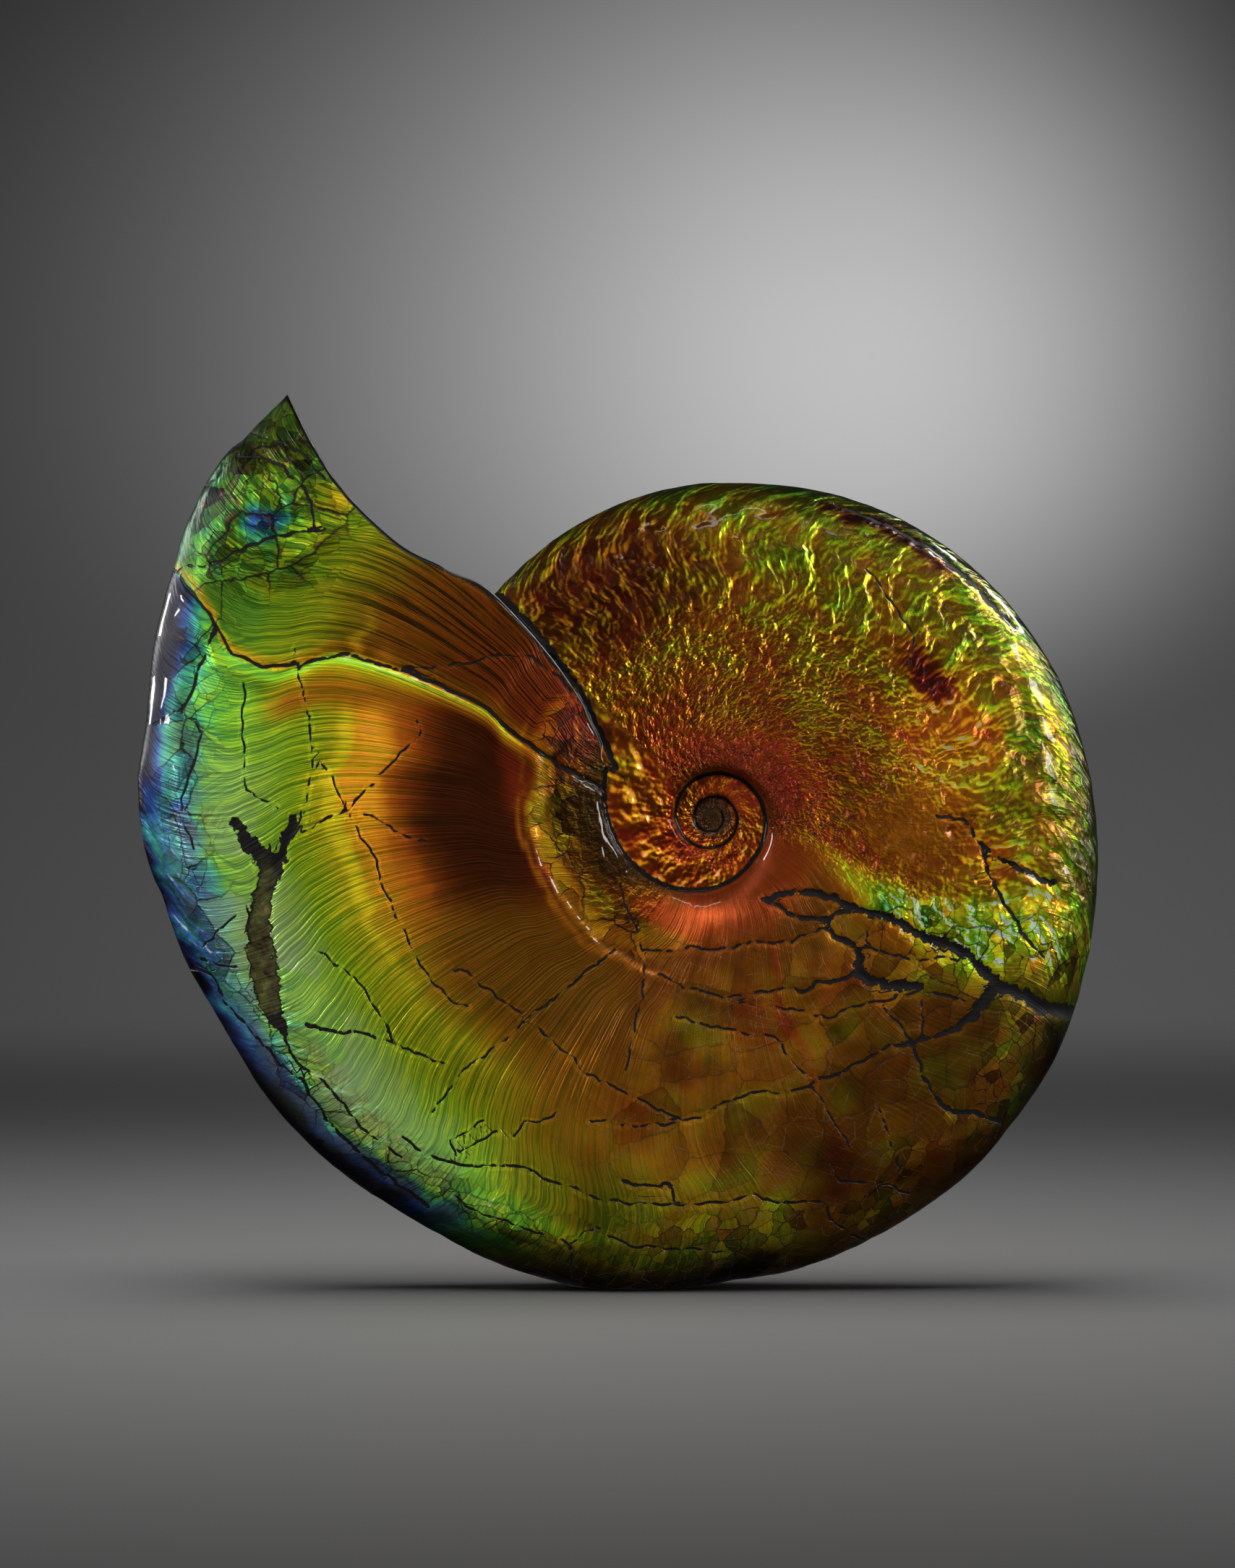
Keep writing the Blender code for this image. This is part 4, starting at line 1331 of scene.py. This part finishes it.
arrow = stored(nacre, "line_arrow", "Vector")
width, gap = stored(nacre, "line_width"), stored(nacre, "line_gap")
off_line = nacre.node("ShaderNodeVectorMath", {"operation": "LENGTH"}, {0: arrow}, output="Value")
by_line = gap < width * 0.5 + 3.0
muddy = ease((width - MUDDY_WIDTH) / 2.0)
mud_shade = flat_cloud(map_place, 9.0, 4.0, 0.65)
crack_wobble = 1.0 + clip(ragged_wide, -0.7, 0.8) * ease(width / 3.0)
line_reach = width * 0.5 * mix(muddy, crack_wobble, 0.15 + mud_shade * 1.6)
line_reach = line_reach.math("MAXIMUM", THINNEST_REACH)
on_line = (1.0 - ease((off_line - line_reach + 0.1) / 0.4)) * by_line
# Painted glint: a thin band just beside a line is made brighter.
crack_edge_glint = near(off_line, width * 0.5 + 1.2, 1.2) * by_line * ease((ragged - 0.45) / 0.1)
mud_edge = ease((off_line - line_reach + 1.6) / 1.2)
mud_colour = blend(mud_edge * 0.95, ramp(mud_shade, MUD_STOPS), CRACK_AND_SHADOW_COLOUR)
line_colour = blend(muddy, CRACK_AND_SHADOW_COLOUR, mud_colour)
from_lip = stored(nacre, "from_lip").math("ABSOLUTE")
lip_edge = (1.0 - ease((from_lip - 1.2) / 0.8)) * ease((share - 0.28) / 0.1)
print("nodes in the nacre, with the lines:", nacre.count)

# %% [markdown]
# The ramp gives each place the colour of its phase, the glow scales it, and the brightest places go to
# white, a painted highlight. Scratches, hairlines, milky plates, rust and cracks are laid over it one by
# one, and the drawn lines cover them all.

# %% Colour of the nacre
CENTRE_STOPS = [(.35, (.012, .008, .004)), (.55, (.06, .038, .020)), (.70, (.16, .12, .08))]
CENTRE_RADIUS = 8.0
BRIGHTEST = 1.35
DARKEST = 0.003

glow_with_edge_glint = glow * (1.0 + crack_edge_glint * 0.45)
colour = scaled(ramp(phase, PHASE_COLOURS), clip(glow_with_edge_glint, DARKEST, BRIGHTEST))
# Painted highlight: where the glow is highest the colour turns white.
colour = blend(ease((glow - 1.6) / 1.8) * 0.85, colour, PAINTED_HIGHLIGHT_WHITE)
colour = blend(scratches * scratch_zone * 0.30, colour, PALE_COLOUR)
colour = blend(hairs * 0.5, colour, PALE_COLOUR)
milky_plates = 0.28 + ease((plate_shift - 0.42) / 0.05) * 0.45
colour = blend(near(growth, 62.0, 48.0) * near(share, 0.86, 0.14) * milky_plates, colour, MILKY_COLOUR)
colour = blend(plate_rust * (0.35 + tip_zone * 0.4), colour, RUST_COLOUR)
colour = blend((plate_lines * 0.92).math("MAXIMUM", veins * 0.8), colour, CRACK_AND_SHADOW_COLOUR)
centre = 1.0 - ease((radius - CENTRE_RADIUS) / 5.0)
colour = blend(centre * 0.85, colour, ramp(flat_cloud(hammer_place, 9.0, 3.0), CENTRE_STOPS))
colour = blend(on_line.math("MAXIMUM", lip_edge), colour, line_colour)
print("nodes in the nacre, with its colour:", nacre.count)

# %% [markdown]
# The layers gleam like dull metal under a thin glossy varnish, so the surface is half metallic with a
# clear coat. The varnish lies smooth over the grain, and at the rim and the tip only some plates still
# carry it.

# %% Surface of the nacre
NACRE_METALLIC = 0.55
SMOOTH_ROUGHNESS = 0.36
FACET_ROUGHNESS = 0.28
LINE_ROUGHNESS = 0.6
SPECULAR_LEVEL = 0.15
COAT_ROUGHNESS = 0.04
COAT_IOR = 1.28
BUMP_STRENGTH = 0.8
BUMP_DEPTH = 1.4

grain = growth_noise(growth, share, 2.0) * streak_zone * 0.8
grain = grain + hammer_marks(hammer_place) * facet_zone * 2.2 - on_line * 0.5
dark_line = on_line * (1.0 - muddy)
bare_plates = clip(tip_zone + ease((share - 0.86) / 0.05)) * (1.0 - ease((plate_turn - 0.56) / 0.03))
coat = (1.0 - dark_line * 0.4) * mix(facet_zone, 1.0, 0.85) * (1.0 - bare_plates)
bump = nacre.node("ShaderNodeBump",
                  values={"Strength": BUMP_STRENGTH, "Distance": BUMP_DEPTH * MM, "Height": grain})
roughness = mix(on_line, mix(facet_zone, SMOOTH_ROUGHNESS, FACET_ROUGHNESS), LINE_ROUGHNESS)
metallic = (1.0 - on_line) * NACRE_METALLIC
close_finish(nacre, {"Base Color": colour, "Metallic": metallic, "Roughness": roughness,
                     "Specular IOR Level": SPECULAR_LEVEL, "Coat Weight": coat,
                     "Coat Roughness": COAT_ROUGHNESS, "Coat IOR": COAT_IOR}, bump)
print("nodes in the finished nacre:", nacre.count)

# %% [markdown]
# Behind the lip the shell is filled with hardened mud, which is dull, grey-brown and grainy. Noise on
# Object coordinates colours it and gives it a soft bump. Its coat is weak, because the varnish soaked in.

# %% The mud in the mouth
MUD_FACE_STOPS = [(0.25, (.030, .024, .018)), (0.5, (.085, .070, .052)), (0.75, (.16, .14, .11))]
MUD_GRAIN = 12.0
MUD_BUMP_STRENGTH = 0.6
MUD_BUMP_DEPTH = 1.5
MUD_ROUGHNESS = 0.55
MUD_COAT = 0.35
MUD_COAT_ROUGHNESS = 0.25

mud_finish, mud = open_finish("mud")
mud_place = scaled(mud.node("ShaderNodeTexCoord", output="Object"), 1.0 / MM)
mud_noise = cloud(mud_place, MUD_GRAIN, 5.0, 0.65)
values = {"Strength": MUD_BUMP_STRENGTH, "Distance": MUD_BUMP_DEPTH * MM, "Height": mud_noise}
mud_bump = mud.node("ShaderNodeBump", values=values)
close_finish(mud, {"Base Color": ramp(mud_noise, MUD_FACE_STOPS), "Roughness": MUD_ROUGHNESS,
                   "Coat Weight": MUD_COAT, "Coat Roughness": MUD_COAT_ROUGHNESS}, mud_bump)
print("nodes in the mud:", mud.count)

# %% [markdown]
# ## Grow the shell
# The tree is closed and run once with its inputs set, and what comes out is a plain mesh. Every point is
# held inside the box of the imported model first, so that the finer relief can't make the part larger.

# %% Close the tree and run it
def finish_tree(geometry):
    """End a tree: clamp to the box, realize, set the finishes and hand the mesh out."""
    board = geometry.board
    place = board.node("GeometryNodeInputPosition")
    for limit, corner in (("MAXIMUM", "Box low"), ("MINIMUM", "Box high")):
        place = board.node("ShaderNodeVectorMath", {"operation": limit}, {0: place, 1: given[corner]})
    geometry = board.node("GeometryNodeSetPosition", values={"Geometry": geometry, "Position": place})
    geometry = board.node("GeometryNodeRealizeInstances", values={0: geometry})
    values = {"Geometry": geometry, "Material": given["Shell finish"]}
    geometry = board.node("GeometryNodeSetMaterial", values=values)
    values = {"Geometry": geometry, "Selection": read(board, "mud") > 0.5,
              "Material": given["Mud finish"]}
    geometry = board.node("GeometryNodeSetMaterial", values=values)
    out = board.tree.nodes.new("NodeGroupOutput")
    board.tree.links.new(geometry.socket, out.inputs["Geometry"])


def grow(name, tree, sizes):
    """Run a tree once and keep its result as a plain mesh object at the origin."""
    piece = bpy.data.objects.new(name, bpy.data.meshes.new(name))
    bpy.context.scene.collection.objects.link(piece)
    modifier = piece.modifiers.new("grow", "NODES")
    modifier.node_group = tree
    for item in tree.interface.items_tree:
        if item.in_out == "INPUT" and item.name in sizes:
            modifier[item.identifier] = sizes[item.name]
    graph = bpy.context.evaluated_depsgraph_get()
    mesh = bpy.data.meshes.new_from_object(piece.evaluated_get(graph), depsgraph=graph)
    piece.modifiers.clear()
    piece.data = mesh
    mesh.name = name
    if mesh.materials[0] is None:
        mesh.materials.pop(index=0)
    return piece


finish_tree(whole)
sizes = {"Rays": 440, "Front rows": 144, "Back rows": 72, "Mouth columns": 12, "Relief": 1.0, "Seed": 3.0,
         "Lines": line_drawing, "Box low": tuple(cad_box[0]), "Box high": tuple(cad_box[1]),
         "Shell finish": shell_finish, "Mud finish": mud_finish}
shell = grow("ammonite_shell", board.tree, sizes)
bpy.data.objects.remove(line_drawing)
mesh = shell.data
check = bmesh.new()
check.from_mesh(mesh)
open_edges = sum(1 for edge in check.edges if not edge.is_manifold)
print("triangles", sum(len(face.vertices) - 2 for face in mesh.polygons), "open edges", open_edges,
      "litres", round(check.calc_volume() * 1e3, 2), "finishes", [m.name for m in mesh.materials])
check.free()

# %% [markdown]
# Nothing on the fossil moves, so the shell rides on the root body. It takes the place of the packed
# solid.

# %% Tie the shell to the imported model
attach(shell, "root")
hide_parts("ammonite")
print(shell.name, "rides on the root and replaces the packed solid")

# %% [markdown]
# ## A plain studio
# The object stands on a wide pale floor that curves up into a round wall, so that every side can be
# looked at. The rings of one small mesh make floor, curve and wall. The varnish mirrors whatever is pale
# and would look hazy, so this room is left out of its reflections.

# %% A floor that curves up into a wall
FLOOR_RADIUS = 3.2
WALL_RADIUS = 4.8
WALL_TOP = 3.2
BOWL_SIDES = 96
QUARTER = 90
CURVE_STEP = 10
FLOOR_COLOUR = (.30, .30, .30, 1.0)
FLOOR_ROUGHNESS = 0.75

curve_radius = WALL_RADIUS - FLOOR_RADIUS
profile = [(FLOOR_RADIUS * 0.5, 0.0), (FLOOR_RADIUS, 0.0)]
for degrees in range(CURVE_STEP, QUARTER + 1, CURVE_STEP):
    climb = math.radians(degrees)
    profile.append((FLOOR_RADIUS + curve_radius * math.sin(climb), curve_radius * (1.0 - math.cos(climb))))
profile.append((WALL_RADIUS, WALL_TOP))
bowl_angles = [2.0 * math.pi * side / BOWL_SIDES for side in range(BOWL_SIDES)]
bowl_drawing = bmesh.new()
rings = []
for ring_radius, height in profile:
    rings.append([bowl_drawing.verts.new((ring_radius * math.cos(t), ring_radius * math.sin(t), height))
                  for t in bowl_angles])
bowl_drawing.faces.new(rings[0])
for lower, upper in zip(rings, rings[1:]):
    for side in range(BOWL_SIDES):
        after = (side + 1) % BOWL_SIDES
        bowl_drawing.faces.new((lower[side], upper[side], upper[after], lower[after]))
bowl_mesh = bpy.data.meshes.new("studio_bowl")
bowl_drawing.to_mesh(bowl_mesh)
bowl_drawing.free()
bowl_mesh.shade_smooth()
bowl = bpy.data.objects.new("studio_bowl", bowl_mesh)
bpy.context.scene.collection.objects.link(bowl)
print("rings in the floor and wall:", len(rings))

# %% Give the floor a dull grey finish
floor_finish, floor_board = open_finish("pale_floor")
floor_surface = floor_board.node("ShaderNodeBsdfPrincipled",
                                 values={"Base Color": FLOOR_COLOUR, "Roughness": FLOOR_ROUGHNESS})
floor_board.node("ShaderNodeOutputMaterial", values={0: floor_surface})
bowl_mesh.materials.append(floor_finish)
bowl.visible_glossy = False
print("the floor is", bowl_mesh.materials[0].name)

# %% [markdown]
# The floor shows no pattern of the lights that make the shell shine. So each light falls either on the
# shell alone or on the room alone. Of those on the shell, strips only leave glints in the varnish, and
# wide boxes only light the colours below it. A light is a soft box that looks at a place.

# %% A soft box that looks at a place
TARGET = (0.0, 0.0, 0.23)


def receivers(name, piece):
    """A collection with the one piece that some of the lights fall on."""
    group = bpy.data.collections.new(name)
    group.objects.link(piece)
    return group


def soft_light(name, place, size, power, spread, aim, receiver, glint):
    """A rectangular soft box, which either lights surfaces or leaves only its glint in the varnish."""
    data = bpy.data.lights.new(name, "AREA")
    data.shape = "RECTANGLE"
    data.size, data.size_y = size
    data.energy = power
    data.spread = math.radians(spread)
    light = bpy.data.objects.new(name, data)
    light.location = place
    light.rotation_euler = (Vector(aim) - Vector(place)).to_track_quat("-Z", "Y").to_euler()
    light.visible_camera = False
    light.visible_diffuse = not glint
    light.visible_glossy = glint
    light.light_linking.receiver_collection = receiver
    bpy.context.scene.collection.objects.link(light)


print("the shell's lights look at", TARGET)

# %% [markdown]
# The tables give place, size in metres, power in watts and how wide the light spreads in degrees. The
# shell's four main lights stand once more half a turn round, so that its back is lit as its front is, and
# the light on the wall stands at all four sides.

# %% Lights that fall on the shell
ALL_ROUND = 180.0
SHELL_LIGHTS = [
    ("left strip", (-2.2, -0.4, 0.9), (0.16, 1.0), 24.0, ALL_ROUND, True),
    ("right strip", (2.2, -0.9, 1.0), (0.40, 1.2), 42.0, ALL_ROUND, True),
    ("key", (-1.6, -2.2, 1.9), (1.6, 1.6), 27.0, 80.0, False),
    ("fill", (2.0, -2.4, 0.8), (1.2, 1.6), 8.0, 80.0, False),
]
FRONT_STRIPS = [
    ("top strip", (0.1, -1.1, 2.2), (1.2, 0.12), 5.0),
    ("upper right strip", (1.6, 0.35, 1.7), (0.60, 0.8), 60.0),
]

on_shell = receivers("lit shell", shell)
on_room = receivers("lit room", bowl)
for side, half_turn in (("", 1.0), (" behind", -1.0)):
    for name, (x, y, z), size, power, spread, glint in SHELL_LIGHTS:
        place = (x * half_turn, y * half_turn, z)
        soft_light(name + side, place, size, power, spread, TARGET, on_shell, glint)
for name, place, size, power in FRONT_STRIPS:
    soft_light(name, place, size, power, ALL_ROUND, TARGET, on_shell, True)
print("lights on the shell:", len(bpy.data.lights))

# %% Lights that fall on the room
ROOM_LIGHTS = [
    ("floor light", (-0.12, 0.0, 1.6), (1.0, 1.0), 5.2, 90.0, (0.0, 0.05, 0.0)),
    ("far floor", (0.3, 2.6, 2.4), (1.2, 1.2), 8.0, 120.0, (0.2, 3.4, 0.0)),
]
WALL_LIGHT = ((0.56, 3.7, 1.22), (0.6, 0.6), 4.7, 84.0, (0.16, 4.8, 0.88))
QUARTERS = ((1, 0), (0, 1), (-1, 0), (0, -1))
WORLD_COLOUR = (1.0, 1.0, 1.0, 1.0)
WORLD_STRENGTH = 0.025

for name, place, size, power, spread, aim in ROOM_LIGHTS:
    soft_light(name, place, size, power, spread, aim, on_room, False)
place, size, power, spread, aim = WALL_LIGHT
for number, (c, s) in enumerate(QUARTERS):
    spots = [(x * c - y * s, x * s + y * c, z) for x, y, z in (place, aim)]
    soft_light("wall " + str(number), spots[0], size, power, spread, spots[1], on_room, False)
world = bpy.data.worlds.new("studio")
world.use_nodes = True
background = world.node_tree.nodes["Background"]
background.inputs["Color"].default_value = WORLD_COLOUR
background.inputs["Strength"].default_value = WORLD_STRENGTH
bpy.context.scene.world = world
print("lights in all:", len(bpy.data.lights))

# %% [markdown]
# The camera stands level, straight in front of the shell, a little above its middle. A long lens keeps
# the outline free of perspective.

# %% Camera
CAMERA_DISTANCE = 2.5
CAMERA_HEIGHT = 0.261
FRAME_HEIGHT = 0.8134
SENSOR_WIDTH = 36.0

camera_data = bpy.data.cameras.new("camera")
camera_data.sensor_fit = "AUTO"
camera_data.sensor_width = SENSOR_WIDTH
camera_data.lens = SENSOR_WIDTH * CAMERA_DISTANCE / FRAME_HEIGHT
camera = bpy.data.objects.new("camera", camera_data)
camera.location = (0.0, -CAMERA_DISTANCE, CAMERA_HEIGHT)
camera.rotation_euler = (math.radians(90.0), 0.0, 0.0)
bpy.context.scene.collection.objects.link(camera)
bpy.context.scene.camera = camera
bpy.context.scene.view_settings.view_transform = "Standard"
print("focal length in mm:", round(camera_data.lens, 1))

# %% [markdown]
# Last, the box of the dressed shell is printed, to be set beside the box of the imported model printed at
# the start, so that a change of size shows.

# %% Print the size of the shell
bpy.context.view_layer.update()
places = [vertex.co for vertex in mesh.vertices]
low = [min(place[axis] for place in places) for axis in range(3)]
high = [max(place[axis] for place in places) for axis in range(3)]
print("shell box", [round(value, 4) for value in low + high])
